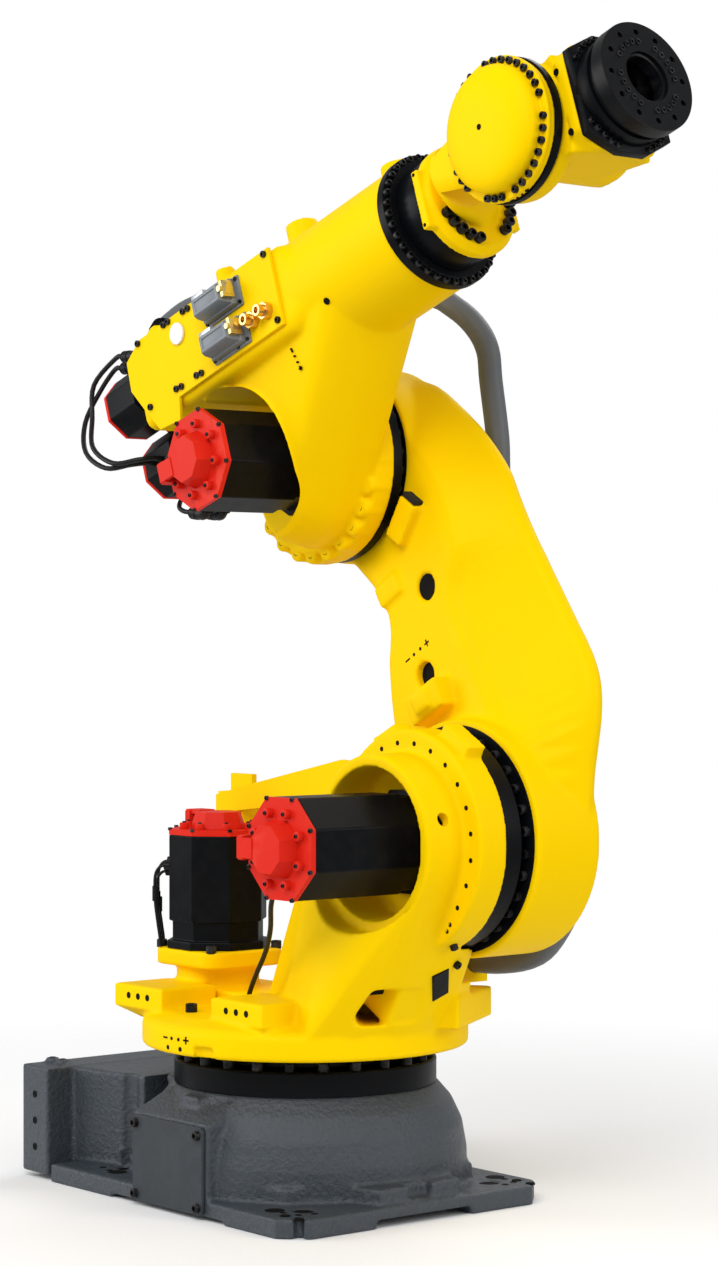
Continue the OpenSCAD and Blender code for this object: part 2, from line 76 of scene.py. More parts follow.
class Body(str, Enum):
    """The moving bodies of the arm, by the names that the record gives them."""

    BASE = "base"
    TURNTABLE = "turntable"
    LOWER_ARM = "lower_arm"
    FOREARM = "forearm"
    WRIST_ROLL = "wrist_roll"
    WRIST_BEND = "wrist_bend"
    TOOL = "tool"


class Value:
    """A number socket of a material, with the operators that its expressions use."""

    def __init__(self, graph: "Graph", socket: bpy.types.NodeSocket) -> None:
        """Keeps the socket and the graph that it belongs to."""
        self.graph = graph
        self.socket = socket

    def _math(self, operation: str, left: Any, right: Any, clamp: bool = False) -> "Value":
        """Adds one Math node.

        Args:
            operation: Blender's name of the operation.
            left: the first value, a number or a Value.
            right: the second value, a number or a Value.
            clamp: keeps the result between 0 and 1.

        Returns:
            The node's result.
        """
        return self.graph.node("ShaderNodeMath", {"operation": operation, "use_clamp": clamp}, {0: left, 1: right})

    def __add__(self, other: Any) -> "Value":
        """Adds a number or a value."""
        return self._math("ADD", self, other)

    __radd__ = __add__

    def __sub__(self, other: Any) -> "Value":
        """Takes a number or a value away."""
        return self._math("SUBTRACT", self, other)

    def __rsub__(self, other: Any) -> "Value":
        """Takes this value away from a number."""
        return self._math("SUBTRACT", other, self)

    def __mul__(self, other: Any) -> "Value":
        """Multiplies by a number or a value."""
        return self._math("MULTIPLY", self, other)

    __rmul__ = __mul__

    def __truediv__(self, other: Any) -> "Value":
        """Divides by a number or a value."""
        return self._math("DIVIDE", self, other)

    def __pow__(self, other: Any) -> "Value":
        """Raises to a power."""
        return self._math("POWER", self, other)

    def clamped(self) -> "Value":
        """This value kept between 0 and 1."""
        return self._math("ADD", self, 0.0, clamp=True)

    def above(self, low: float, high: float) -> "Value":
        """A smooth step that is 0 below low and 1 above high."""
        return ((self - low) * (1.0 / (high - low))).clamped()


class Graph:
    """One material's node tree, built node by node."""

    def __init__(self, name: str) -> None:
        """Starts an empty material of that name."""
        self.material = bpy.data.materials.new(name)
        self.material.use_nodes = True
        self.tree = self.material.node_tree
        self.tree.nodes.clear()

    def node(self, kind: str, settings: dict[str, Any], inputs: dict[Any, Any], out: int | str = 0) -> Value:
        """Adds a node.

        Args:
            kind: the node's type name.
            settings: properties that are set first; a ramp's stops are given as "stops".
            inputs: numbers, colours or Values by socket name or number.
            out: the output that is handed back.

        Returns:
            The chosen output.
        """
        made = self.tree.nodes.new(kind)
        for key, value in settings.items():
            if key == "stops":
                self._stops(made, value)
            else:
                setattr(made, key, value)
        for key, value in inputs.items():
            if isinstance(value, Value):
                self.tree.links.new(value.socket, made.inputs[key])
            else:
                made.inputs[key].default_value = value
        return Value(self, made.outputs[out])

    @staticmethod
    def _stops(ramp: bpy.types.Node, stops: Sequence[tuple[float, Colour]]) -> None:
        """Sets a ramp's stops from places and colours."""
        elements = ramp.color_ramp.elements
        while len(elements) < len(stops):
            elements.new(0.5)
        for element, (place, colour) in zip(elements, stops):
            element.position = place
            element.color = (*colour, 1.0)

    def place(self) -> Value:
        """The Object coordinates."""
        return self.node("ShaderNodeTexCoord", {}, {}, "Object")

    def noise(self, scale: float, detail: float = 2.0, rough: float = 0.5) -> Value:
        """A soft noise of so many cells per metre."""
        return self.node("ShaderNodeTexNoise", {}, {"Vector": self.place(), "Scale": scale, "Detail": detail, "Roughness": rough})

    def cells(self, scale: float) -> Value:
        """Round cells of so many per metre, as their distance from the middle."""
        return self.node("ShaderNodeTexVoronoi", {}, {"Vector": self.place(), "Scale": scale})

    def edges(self) -> Value:
        """How far a place stands out, 0.5 on a flat face."""
        return self.node("ShaderNodeNewGeometry", {}, {}, "Pointiness")

    def upward(self) -> Value:
        """How far a face looks up, from -1 to 1."""
        normal = self.node("ShaderNodeNewGeometry", {}, {}, "Normal")
        return self.node("ShaderNodeSeparateXYZ", {}, {0: normal}, "Z")

    def blend(self, share: Any, first: Any, second: Any) -> Value:
        """A mix of two colours, all first at 0 and all second at 1."""
        def full(c: Any) -> Any:
            """A colour with its alpha, or a Value as it is."""
            return c if isinstance(c, Value) else (*c, 1.0)
        return self.node("ShaderNodeMix", {"data_type": "RGBA"}, {0: share, 6: full(first), 7: full(second)}, 2)

    def bump(self, height: Value, strength: float, distance: float) -> Value:
        """A bump normal from a height."""
        return self.node("ShaderNodeBump", {}, {"Strength": strength, "Distance": distance, "Height": height})

    def surface(self, inputs: dict[str, Any]) -> bpy.types.Material:
        """Ends the graph in a Principled shader and hands back the material."""
        shader = self.node("ShaderNodeBsdfPrincipled", {}, inputs)
        output = self.tree.nodes.new("ShaderNodeOutputMaterial")
        self.tree.links.new(shader.socket, output.inputs["Surface"])
        return self.material


@dataclass(frozen=True)
class Finish:
    """A finish of the arm: its colours, gloss, grain and wear, with painted shade in its hollows.

    Attributes:
        name: the material's name.
        slot: the record's material slot; not used.
        colour: the main colour.
        deep: the colour in its darker patches, and the painted shade in its hollows.
        worn: the colour on rubbed edges.
        rough: the main roughness.
        metal: how metallic it is.
        grain: cells of the fine grain per metre.
        relief: depth of the grain in metres.
        coat: weight of a clear coat.
        wear: how strong the wear on edges is.
        gloss: the shader's specular level.
    """

    name: str
    slot: str
    colour: Colour
    deep: Colour
    worn: Colour
    rough: float = 0.4
    metal: float = 0.0
    grain: float = 300.0
    relief: float = 0.00006
    coat: float = 0.0
    wear: float = 0.3
    gloss: float = 0.5

    def heights(self, graph: Graph) -> Value:
        """The height of the fine grain."""
        return graph.noise(self.grain, 2.0)

    def material(self) -> bpy.types.Material:
        """Builds the material, once for each name.

        Returns:
            The finished material.
        """
        found = bpy.data.materials.get(self.name)
        if found is not None:
            return found
        g = Graph(self.name)
        broad = g.noise(4.5, 3.0)
        patches = g.noise(38.0, 4.0, 0.6)
        standing = g.edges()
        rubbed = standing.above(0.54, 0.64) * patches.above(0.42, 0.62) * self.wear
        # Painted shade: concave places, found by pointiness, are darkened towards the deep colour.
        painted_hollow_shade = (0.5 - standing).above(0.02, 0.12)
        tone = ((broad - 0.5) * 0.8 + (patches - 0.5) * 0.35 + 0.3).clamped() * 0.45
        colour = g.blend((tone + painted_hollow_shade * 0.5).clamped(), self.colour, self.deep)
        colour = g.blend(rubbed, colour, self.worn)
        rough = (self.rough + (patches - 0.5) * 0.16 + (broad - 0.5) * 0.1 + rubbed * 0.2).clamped()
        normal = g.bump(self.heights(g), 0.9, self.relief)
        return g.surface({"Base Color": colour, "Roughness": rough, "Metallic": self.metal, "Normal": normal, "Coat Weight": self.coat, "Coat Roughness": 0.18, "Specular IOR Level": self.gloss})


@dataclass(frozen=True)
class CastFinish(Finish):
    """A rough-cast skin under paint, with pits and swells."""

    def heights(self, graph: Graph) -> Value:
        """Coarse sand-cast grain with pits."""
        return graph.noise(self.grain, 4.0, 0.65) * 0.7 + graph.cells(self.grain * 0.6) * 0.3


@dataclass(frozen=True)
class MachinedFinish(Finish):
    """A turned or milled surface with fine marks."""

    def heights(self, graph: Graph) -> Value:
        """Fine scratches over a soft grain."""
        return graph.noise(self.grain * 2.0, 1.0) * 0.5 + graph.noise(self.grain * 0.3, 3.0, 0.7) * 0.5


YELLOW = Finish("yellow_enamel", "yellow", (0.99, 0.655, 0.0), (0.93, 0.55, 0.0), (1.0, 0.74, 0.01), 0.46, 0.0, 420.0, 0.00005, 0.0, 0.35, 0.03)
GREY_CAST = CastFinish("grey_rough_cast", "grey_cast", (0.040, 0.051, 0.064), (0.022, 0.029, 0.037), (0.09, 0.104, 0.122), 0.38, 0.0, 150.0, 0.0042, 0.0, 0.5, 0.5)
GREY_PLATE = Finish("grey_sheet_paint", "grey_cast", (0.038, 0.044, 0.051), (0.028, 0.033, 0.039), (0.10, 0.11, 0.125), 0.5, 0.0, 420.0, 0.00012, 0.0, 0.6, 0.18)
BLACK = Finish("black_satin_paint", "black", (0.0036, 0.0042, 0.0054), (0.002, 0.0023, 0.003), (0.03, 0.03, 0.034), 0.34, 0.0, 380.0, 0.00005, 0.0, 0.5, 0.08)
FLANGE_BLACK = MachinedFinish("black_oxide_steel", "black", (0.0050, 0.0055, 0.0065), (0.003, 0.003, 0.004), (0.05, 0.05, 0.055), 0.36, 0.2, 300.0, 0.00004, 0.0, 0.5, 0.14)
BOLT = MachinedFinish("black_bolt_steel", "black", (0.006, 0.006, 0.007), (0.003, 0.003, 0.0035), (0.08, 0.08, 0.085), 0.34, 0.3, 500.0, 0.00003, 0.0, 0.7, 0.22)
RED = Finish("red_cap_paint", "red", (0.72, 0.020, 0.008), (0.54, 0.010, 0.005), (0.84, 0.09, 0.05), 0.42, 0.0, 420.0, 0.00005, 0.0, 0.4, 0.10)
DIE_CAST = Finish("grey_die_cast", "grey_metal", (0.20, 0.22, 0.24), (0.13, 0.145, 0.16), (0.40, 0.42, 0.44), 0.46, 0.2, 500.0, 0.00008, 0.0, 0.6, 0.3)
BRASS = MachinedFinish("turned_brass", "brass", (0.74, 0.46, 0.19), (0.52, 0.30, 0.11), (0.88, 0.64, 0.36), 0.27, 1.0, 420.0, 0.00003, 0.0, 0.5)
CHROMATE = MachinedFinish("yellow_zinc_plate", "brass", (0.70, 0.58, 0.24), (0.50, 0.40, 0.16), (0.82, 0.76, 0.52), 0.3, 0.9, 420.0, 0.00003, 0.0, 0.5)
ZINC = MachinedFinish("bright_zinc_plate", "grey_metal", (0.58, 0.62, 0.65), (0.42, 0.45, 0.48), (0.74, 0.75, 0.76), 0.34, 0.6, 420.0, 0.00003, 0.0, 0.5)
RUBBER = CastFinish("black_rubber", "rubber", (0.012, 0.012, 0.012), (0.007, 0.007, 0.007), (0.03, 0.03, 0.03), 0.72, 0.0, 700.0, 0.0001, 0.0, 0.4, 0.3)
WHITE = Finish("white_cap_plastic", "white_plastic", (0.80, 0.80, 0.77), (0.66, 0.66, 0.63), (0.86, 0.86, 0.84), 0.32, 0.0, 420.0, 0.00003, 0.1, 0.2)
HOSE = Finish("grey_hose_sheath", "grey_hose", (0.130, 0.140, 0.152), (0.088, 0.095, 0.104), (0.21, 0.22, 0.23), 0.46, 0.0, 600.0, 0.00008, 0.0, 0.2, 0.25)
CABLE = Finish("black_cable_sheath", "black_hose", (0.007, 0.007, 0.008), (0.004, 0.004, 0.005), (0.025, 0.025, 0.025), 0.42, 0.0, 600.0, 0.00006, 0.0, 0.3, 0.25)
# A flat black that paints the shade inside drilled holes and recesses; the travel marks use it as their print colour.
PAINTED_SHADE_AND_PRINT = Finish("hole_shade_and_mark_print", "black", (0.004, 0.004, 0.004), (0.002, 0.002, 0.002), (0.01, 0.01, 0.01), 0.7, 0.0, 500.0, 0.00003, 0.0, 0.1, 0.1)


@dataclass(frozen=True)
class Layout:
    """Where the axes of the arm lie, in metres and degrees."""

    shoulder_x: float = 0.312
    shoulder_z: float = 0.670
    arm_length: float = 0.805
    lean: float = 31.0
    pitch: float = 19.0
    offset: float = 0.225
    roll_x: float = 0.598
    wrist_x: float = 0.915
    tool_x: float = 0.225

    def shoulder(self) -> Matrix:
        """The lower arm's frame: at the shoulder, Z to the elbow."""
        return Matrix.Translation((self.shoulder_x, 0, self.shoulder_z)) @ Matrix.Rotation(math.radians(-self.lean), 4, "Y")

    def elbow(self) -> Matrix:
        """The forearm's frame: at the elbow, X along the forearm."""
        at = self.shoulder() @ Vector((0, 0, self.arm_length))
        return Matrix.Translation(at) @ Matrix.Rotation(math.radians(-self.pitch), 4, "Y")

    def housing(self) -> Matrix:
        """The shoulder housing's frame: at the shoulder, upright."""
        return Matrix.Translation((self.shoulder_x, 0, self.shoulder_z))

    def roll(self) -> Matrix:
        """The roll axis's frame: Z along the forearm, from the elbow's foot."""
        return self.elbow() @ Matrix.Translation((0, 0, self.offset)) @ Matrix.Rotation(math.radians(90), 4, "Y")

    def wrist(self) -> Matrix:
        """The wrist's frame: at the bend axis, X towards the tool."""
        return self.elbow() @ Matrix.Translation((self.wrist_x, 0, self.offset))


LAYOUT = Layout()


class Bench:
    """The workbench: Blender's own operators, each on one piece at a time."""

    @staticmethod
    def only(piece: bpy.types.Object) -> None:
        """Leaves just this piece selected and active."""
        for other in bpy.context.view_layer.objects:
            other.select_set(False)
        piece.select_set(True)
        bpy.context.view_layer.objects.active = piece

    @staticmethod
    def settle(piece: bpy.types.Object, name: str) -> bpy.types.Object:
        """Puts the piece's place into its mesh and names it."""
        piece.data.transform(piece.matrix_world)
        piece.matrix_world = Matrix.Identity(4)
        piece.name = name
        piece.data.name = name
        return piece

    @classmethod
    def cylinder(cls, radius: float, low: float, high: float, sides: int = 32) -> bpy.types.Object:
        """Adds an upright cylinder between two heights at the origin."""
        bpy.ops.mesh.primitive_cylinder_add(vertices=sides, radius=radius, depth=high - low, location=(0, 0, (low + high) / 2))
        piece = bpy.context.object
        cls.only(piece)
        return cls.settle(piece, "turned")

    @classmethod
    def block(cls, low: Point, high: Point) -> bpy.types.Object:
        """Adds a box between two corners."""
        a, b = Vector(low), Vector(high)
        bpy.ops.mesh.primitive_cube_add(size=1.0, location=(a + b) / 2, scale=b - a)
        piece = bpy.context.object
        cls.only(piece)
        bpy.context.view_layer.update()
        return cls.settle(piece, "block")

    @classmethod
    def hull(cls, pieces: Sequence[bpy.types.Object]) -> bpy.types.Object:
        """Wraps pieces in one convex skin."""
        piece = cls.join(pieces, "hull")
        bpy.ops.object.mode_set(mode="EDIT")
        bpy.ops.mesh.select_all(action="SELECT")
        bpy.ops.mesh.convex_hull()
        cls.done()
        return piece

    @classmethod
    def bar(cls, place: Matrix, radius: float, low: float, high: float, sides: int = 48) -> bpy.types.Object:
        """Adds a cylinder along a place's Z between two heights."""
        piece = cls.cylinder(radius, low, high, sides)
        piece.data.transform(place)
        return piece

    @staticmethod
    def pick(piece: bpy.types.Object, test: Callable[[Vector, Vector], bool]) -> None:
        """Goes to edit mode with the faces selected that pass a test.

        Args:
            piece: the active piece.
            test: takes a face's centre and normal.
        """
        bpy.ops.object.mode_set(mode="EDIT")
        bpy.ops.mesh.select_mode(type="FACE")
        bpy.ops.mesh.select_all(action="DESELECT")
        bpy.ops.object.mode_set(mode="OBJECT")
        for face in piece.data.polygons:
            face.select = test(face.center, face.normal)
        bpy.ops.object.mode_set(mode="EDIT")

    @staticmethod
    def done() -> None:
        """Goes back to object mode."""
        bpy.ops.object.mode_set(mode="OBJECT")

    @classmethod
    def modify(cls, piece: bpy.types.Object, kind: str, **settings: Any) -> None:
        """Adds a modifier with these settings and applies it."""
        cls.only(piece)
        modifier = piece.modifiers.new(kind.lower(), kind)
        for key, value in settings.items():
            setattr(modifier, key, value)
        bpy.ops.object.modifier_apply(modifier=modifier.name)

    @classmethod
    def round_edges(cls, piece: bpy.types.Object, width: float, angle: float = 40.0, segments: int = 2) -> None:
        """Bevels the sharp edges."""
        cls.modify(piece, "BEVEL", width=width, segments=segments, limit_method="ANGLE", angle_limit=math.radians(angle), use_clamp_overlap=True)

    @classmethod
    def smooth(cls, piece: bpy.types.Object, angle: float = 38.0) -> None:
        """Shades smooth, with edges kept that are sharper than the angle."""
        cls.only(piece)
        bpy.ops.object.shade_smooth_by_angle(angle=math.radians(angle))

    @classmethod
    def join(cls, pieces: Sequence[bpy.types.Object], name: str) -> bpy.types.Object:
        """Joins pieces into one and names it."""
        cls.only(pieces[0])
        for piece in pieces:
            piece.select_set(True)
        if len(pieces) > 1:
            bpy.ops.object.join()
        joined = bpy.context.view_layer.objects.active
        joined.name = name
        joined.data.name = name
        return joined

    @classmethod
    def repeat(cls, model: bpy.types.Object, places: Iterable[Matrix], name: str) -> bpy.types.Object:
        """Copies a model to each place, joins the copies and removes the model.

        Args:
            model: the piece that is copied, at the origin.
            places: where each copy goes.
            name: the joined piece's name.

        Returns:
            The joined piece.
        """
        copies = []
        for place in places:
            mesh = model.data.copy()
            mesh.transform(place)
            copy = bpy.data.objects.new(name, mesh)
            bpy.context.scene.collection.objects.link(copy)
            copies.append(copy)
        bpy.data.objects.remove(model)
        return cls.join(copies, name)

    @classmethod
    def copy_of(cls, name: str, nodes: Sequence[str]) -> bpy.types.Object:
        """Copies CAD nodes into one merged piece.

        Args:
            name: the new piece's name.
            nodes: the nodes that are copied.

        Returns:
            The merged copy.
        """
        copies = []
        for node in nodes:
            mesh = bpy.data.objects[node].data.copy()
            mesh.materials.clear()
            copy = bpy.data.objects.new(name, mesh)
            bpy.context.scene.collection.objects.link(copy)
            copies.append(copy)
        piece = cls.join(copies, name)
        bpy.ops.mesh.customdata_custom_splitnormals_clear()
        bpy.ops.object.mode_set(mode="EDIT")
        bpy.ops.mesh.select_all(action="SELECT")
        bpy.ops.mesh.remove_doubles(threshold=0.00002)
        cls.done()
        return piece


def toward(at: Point, normal: Point, turn: float = 0.0) -> Matrix:
    """A place whose Z runs along a normal.

    Args:
        at: the place in metres.
        normal: the way that Z looks.
        turn: a turn about that normal in degrees.

    Returns:
        The place's matrix.
    """
    spin = Vector((0, 0, 1)).rotation_difference(Vector(normal)).to_matrix().to_4x4()
    return Matrix.Translation(at) @ spin @ Matrix.Rotation(math.radians(turn), 4, "Z")


def lined_up(at: Point, normal: Point, along: Point) -> Matrix:
    """A place whose Z runs along a normal and whose X runs along a row.

    Args:
        at: the place in metres.
        normal: the way that Z looks.
        along: the way that the row runs.

    Returns:
        The place's matrix.
    """
    z = Vector(normal).normalized()
    y = z.cross(Vector(along)).normalized()
    return Matrix.Translation(at) @ Matrix((y.cross(z), y, z)).transposed().to_4x4()


def mm(*numbers: float) -> Vector:
    """Millimetres as a vector in metres."""
    return Vector(numbers) / 1000.0


def dress(piece: bpy.types.Object, finish: Finish, body: Body) -> bpy.types.Object:
    """Gives a piece its finish and the body that it rides on.

    Args:
        piece: the finished piece.
        finish: its finish.
        body: the body that carries it.

    Returns:
        The piece.
    """
    piece.data.materials.clear()
    piece.data.materials.append(finish.material())
    for face in piece.data.polygons:
        face.material_index = 0
    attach(piece, body.value)
    log.info("%s on %s: %d faces", piece.name, body.value, len(piece.data.polygons))
    return piece


@dataclass
class Foundry:
    """Turns CAD castings into pieces with cast fillets.

    Attributes:
        grid: the size of the remesh grid.
        rounds: how often the fillets are smoothed.
        keep: the share of faces that stays.
    """

    grid: float = 0.004
    rounds: int = 7
    keep: float = 0.42

    def plug(self, place: Matrix, radius: float, depth: float) -> bpy.types.Object:
        """A plug that closes a drilled hole before the grid is laid, because bolts stand there."""
        piece = Bench.cylinder(radius, -depth, 0.0, 24)
        piece.data.transform(place)
        return piece

    def cast(self, name: str, nodes: Sequence[str], body: Body, finish: Finish, extra: Sequence[bpy.types.Object] = (), grid: float | None = None, rounds: int | None = None, cuts: Sequence[bpy.types.Object] = (), fresh: bool = False) -> bpy.types.Object:
        """Casts CAD nodes and extra bosses in one pour.

        Args:
            name: the piece's name.
            nodes: the nodes that it stands for.
            body: the body that carries it.
            finish: its paint.
            extra: bosses, ribs and plugs that are poured with it.
            grid: a finer grid for a small piece.
            rounds: another number of smoothing rounds.
            cuts: solids that are machined away after the pour.
            fresh: pours the extra solids alone, in the nodes' place.

        Returns:
            The casting.
        """
        poured = list(extra) if fresh else [Bench.copy_of(name, nodes), *extra]
        piece = Bench.join(poured, name)
        Bench.modify(piece, "REMESH", mode="VOXEL", voxel_size=grid or self.grid, adaptivity=0.0)
        Bench.modify(piece, "SMOOTH", factor=0.5, iterations=self.rounds if rounds is None else rounds)
        Bench.modify(piece, "DECIMATE", ratio=self.keep)
        for cut in cuts:
            Bench.modify(piece, "BOOLEAN", operation="DIFFERENCE", object=cut)
            bpy.data.objects.remove(cut)
        Bench.smooth(piece, 50.0)
        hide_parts(*nodes)
        return dress(piece, finish, body)


@dataclass
class Machinist:
    """Gives CAD pieces with true edges a small bevel."""

    edge: float = 0.0015

    def break_edges(self, node: str, body: Body, finish: Finish, edge: float | None = None) -> bpy.types.Object:
        """Copies a node, cleans its flats and bevels its edges.

        Args:
            node: the node that the piece stands for.
            body: the body that carries it.
            finish: its finish.
            edge: the bevel's width, where it isn't the usual one.

        Returns:
            The piece.
        """
        piece = Bench.copy_of(node + "_finished", [node])
        bpy.ops.object.mode_set(mode="EDIT")
        bpy.ops.mesh.select_all(action="SELECT")
        bpy.ops.mesh.dissolve_limited(angle_limit=math.radians(0.6))
        Bench.done()
        Bench.round_edges(piece, edge or self.edge, 35.0)
        Bench.smooth(piece, 32.0)
        Bench.modify(piece, "WEIGHTED_NORMAL", keep_sharp=True, weight=100)
        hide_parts(node)
        return dress(piece, finish, body)


@dataclass
class Fasteners:
    """Screws, bolt circles, tapped holes and marks."""

    sides: int = 12

    def cap_screw(self, radius: float, height: float) -> bpy.types.Object:
        """Models one socket screw's head that stands on z = 0."""
        piece = Bench.cylinder(radius, -0.002, height, self.sides)
        Bench.pick(piece, lambda centre, normal: normal.z > 0.9)
        bpy.ops.mesh.inset(thickness=radius * 0.14)
        bpy.ops.transform.translate(value=(0, 0, height * 0.1))
        bpy.ops.mesh.inset(thickness=radius * 0.34)
        bpy.ops.mesh.extrude_region_move(TRANSFORM_OT_translate={"value": (0, 0, -height * 0.62)})
        Bench.done()
        Bench.smooth(piece, 40.0)
        return piece

    def knurled_nut(self, radius: float, low: float, high: float) -> bpy.types.Object:
        """Models a hand nut with a ribbed rim between two heights."""
        piece = Bench.cylinder(radius, low, high, 20)
        Bench.pick(piece, lambda centre, normal: abs(normal.z) < 0.1)
        bpy.ops.mesh.inset(thickness=radius * 0.05, depth=-radius * 0.07, use_individual=True)
        Bench.done()
        Bench.pick(piece, lambda centre, normal: normal.z > 0.9)
        bpy.ops.mesh.inset(thickness=radius * 0.16, depth=radius * 0.10)
        Bench.done()
        Bench.smooth(piece, 30.0)
        return piece

    def plug_elbow(self) -> bpy.types.Object:
        """Models one angled plug with ribbed nuts that stands on z = 0 and leaves along -X."""
        tilt = Matrix.Translation(mm(0, 0, 22)) @ Matrix.Rotation(math.radians(-70), 4, "Y")
        foot = self.knurled_nut(0.0155, -0.0005, 0.013)
        tubes = Tubes(4)
        bend = tubes.sweep("bend", tubes.route([mm(0, 0, 10), mm(0, 0, 18), mm(-3, 0, 23), mm(-12, 0, 26.5), mm(-24, 0, 31)]), 0.0115, 4)
        nut = self.knurled_nut(0.0125, 0.018, 0.036)
        nut.data.transform(tilt)
        sleeve = Bench.cylinder(0.0085, 0.034, 0.044, 16)
        Bench.round_edges(sleeve, 0.0012)
        sleeve.data.transform(tilt)
        return Bench.join([foot, bend, nut, sleeve], "plug_elbow")

    def ring_and_shade_disc(self, radius: float, thick: float) -> bpy.types.Object:
        """Models a flat disc with a stepped rim that stands on z = 0; dressed black on the arm, it is partly a dark
        ring and partly painted shade in the joint's groove.
        """
        piece = Bench.cylinder(radius, -0.002, thick, 96)
        Bench.pick(piece, lambda centre, normal: normal.z > 0.9)
        bpy.ops.mesh.inset(thickness=radius * 0.03)
        bpy.ops.mesh.inset(thickness=radius * 0.16)
        bpy.ops.mesh.extrude_region_move(TRANSFORM_OT_translate={"value": (0, 0, -thick * 0.6)})
        Bench.done()
        Bench.smooth(piece, 30.0)
        return piece

    def tapped_hole(self, radius: float) -> bpy.types.Object:
        """Models the shallow mouth of a tapped hole with its chamfer ring, which is dressed black to paint the shade of
        the hole's depth.
        """
        piece = Bench.cylinder(radius, -0.003, 0.0005, 16)
        Bench.pick(piece, lambda centre, normal: normal.z > 0.9)
        bpy.ops.mesh.inset(thickness=radius * 0.16)
        bpy.ops.transform.translate(value=(0, 0, -0.0004))
        Bench.done()
        Bench.smooth(piece, 40.0)
        return piece

    def put(self, name: str, body: Body, model: bpy.types.Object, places: Iterable[Matrix], finish: Finish = BOLT) -> bpy.types.Object:
        """Puts copies of a model at places and dresses them."""
        return dress(Bench.repeat(model, places, name), finish, body)

    def circle(self, frame: Matrix, axis: str, at: float, radius: float, angles: Iterable[float], flip: bool = False) -> list[Matrix]:
        """Places on a circle round one of a frame's axes.

        Args:
            frame: the frame.
            axis: X, Y or Z.
            at: the place along that axis.
            radius: the circle's radius.
            angles: the places on the circle in degrees.
            flip: looks against the axis.

        Returns:
            The places, each with Z along the axis.
        """
        places = []
        sign = -1.0 if flip else 1.0
        for angle in angles:
            c, s = radius * math.cos(math.radians(angle)), radius * math.sin(math.radians(angle))
            spot, way = {"X": ((at, c, s), (sign, 0, 0)), "Y": ((c, at, s), (0, sign, 0)), "Z": ((c, s, at), (0, 0, sign))}[axis]
            places.append(frame @ toward(spot, way))
        return places

    def cap_lugs(self, name: str, body: Body, place: Matrix, axis: str, flip: bool) -> None:
        """Puts the eight lugs that hold a red cap's raised cover, each with its screw.

        Args:
            name: the lugs' name.
            body: the body that carries them.
            place: the cap face's middle.
            axis: the frame's axis that the cap looks along.
            flip: looks against that axis.
        """
        high = -0.012 if flip else 0.012
        turned = [22.5 + 45 * i for i in range(8)]
        lug = Bench.cylinder(0.0085, -0.001, 0.012, 20)
        Bench.round_edges(lug, 0.0015)
        Bench.smooth(lug, 40.0)
        self.put(name, body, lug, self.circle(place, axis, 0.0, 0.066, turned, flip=flip), RED)
        self.put(name + "_screws", body, self.cap_screw(0.0036, 0.0025), self.circle(place, axis, high, 0.066, turned, flip=flip))

    def travel_mark(self, name: str, body: Body, place: Matrix, size: float, rim: float = 1000.0) -> bpy.types.Object:
        """Paints a minus, two dots and a plus, which show the ways that an axis turns.

        Args:
            name: the mark's name.
            body: the body that carries it.
            place: the mark's middle, X along the row and Z outwards.
            size: the width of one sign.
            rim: the radius of the round rim that carries it.

        Returns:
            The mark.
        """
        deep, thin, stroke, step = -0.003, 0.0008, size * 0.22, size * 1.5
        signs = []
        for along, wide, high in ((-1.5, size, stroke), (1.5, size, stroke), (1.5, stroke, size), (-0.5, 0.0, 0.0), (0.5, 0.0, 0.0)):
            sign = Bench.block((-wide / 2, -high / 2, deep), (wide / 2, high / 2, thin)) if wide else Bench.cylinder(size * 0.24, deep, thin, 16)
            turn = along * step / rim
            sign.data.transform(Matrix.Translation((rim * math.sin(turn), 0, rim * (math.cos(turn) - 1.0))) @ Matrix.Rotation(turn, 4, "Y"))
            signs.append(sign)
        mark = Bench.join(signs, name)
        Bench.round_edges(mark, 0.0001, 40.0, 1)
        mark.data.transform(place)
        return dress(mark, PAINTED_SHADE_AND_PRINT, body)


@dataclass
class Tubes:
    """Hoses and cables along smooth routes."""

    steps: int = 5

    def route(self, points: Sequence[Point]) -> list[Vector]:
        """A smooth route through points, as the CAD sweeps it.

        Args:
            points: the route's own points in metres.

        Returns:
            The points with steps between them.
        """
        p = [Vector(x) for x in points]
        last = len(p) - 1
        found = []
        for i in range(last):
            a, b, c, d = p[max(i - 1, 0)], p[i], p[i + 1], p[min(i + 2, last)]
            for j in range(self.steps):
                t = j / self.steps
                found.append(0.5 * (2 * b + (c - a) * t + (2 * a - 5 * b + 4 * c - d) * t * t + (3 * b - a - 3 * c + d) * t**3))
        return [*found, p[-1]]

    def sweep(self, name: str, path: Sequence[Vector], radius: float, fineness: int = 4) -> bpy.types.Object:
        """Sweeps a round tube along a path and makes it a mesh."""
        curve = bpy.data.curves.new(name, "CURVE")
        curve.dimensions = "3D"
        curve.bevel_depth = radius
        curve.bevel_resolution = fineness
        curve.use_fill_caps = True
        spline = curve.splines.new("POLY")
        spline.points.add(len(path) - 1)
        for point, spot in zip(spline.points, path):
            point.co = (*spot, 1.0)
        piece = bpy.data.objects.new(name, curve)
        bpy.context.scene.collection.objects.link(piece)
        Bench.only(piece)
        bpy.ops.object.convert(target="MESH")
        piece = bpy.context.view_layer.objects.active
        Bench.smooth(piece, 60.0)
        return piece

    @staticmethod
    def length(path: Sequence[Vector]) -> float:
        """The length along a path."""
        return sum((b - a).length for a, b in zip(path, path[1:]))


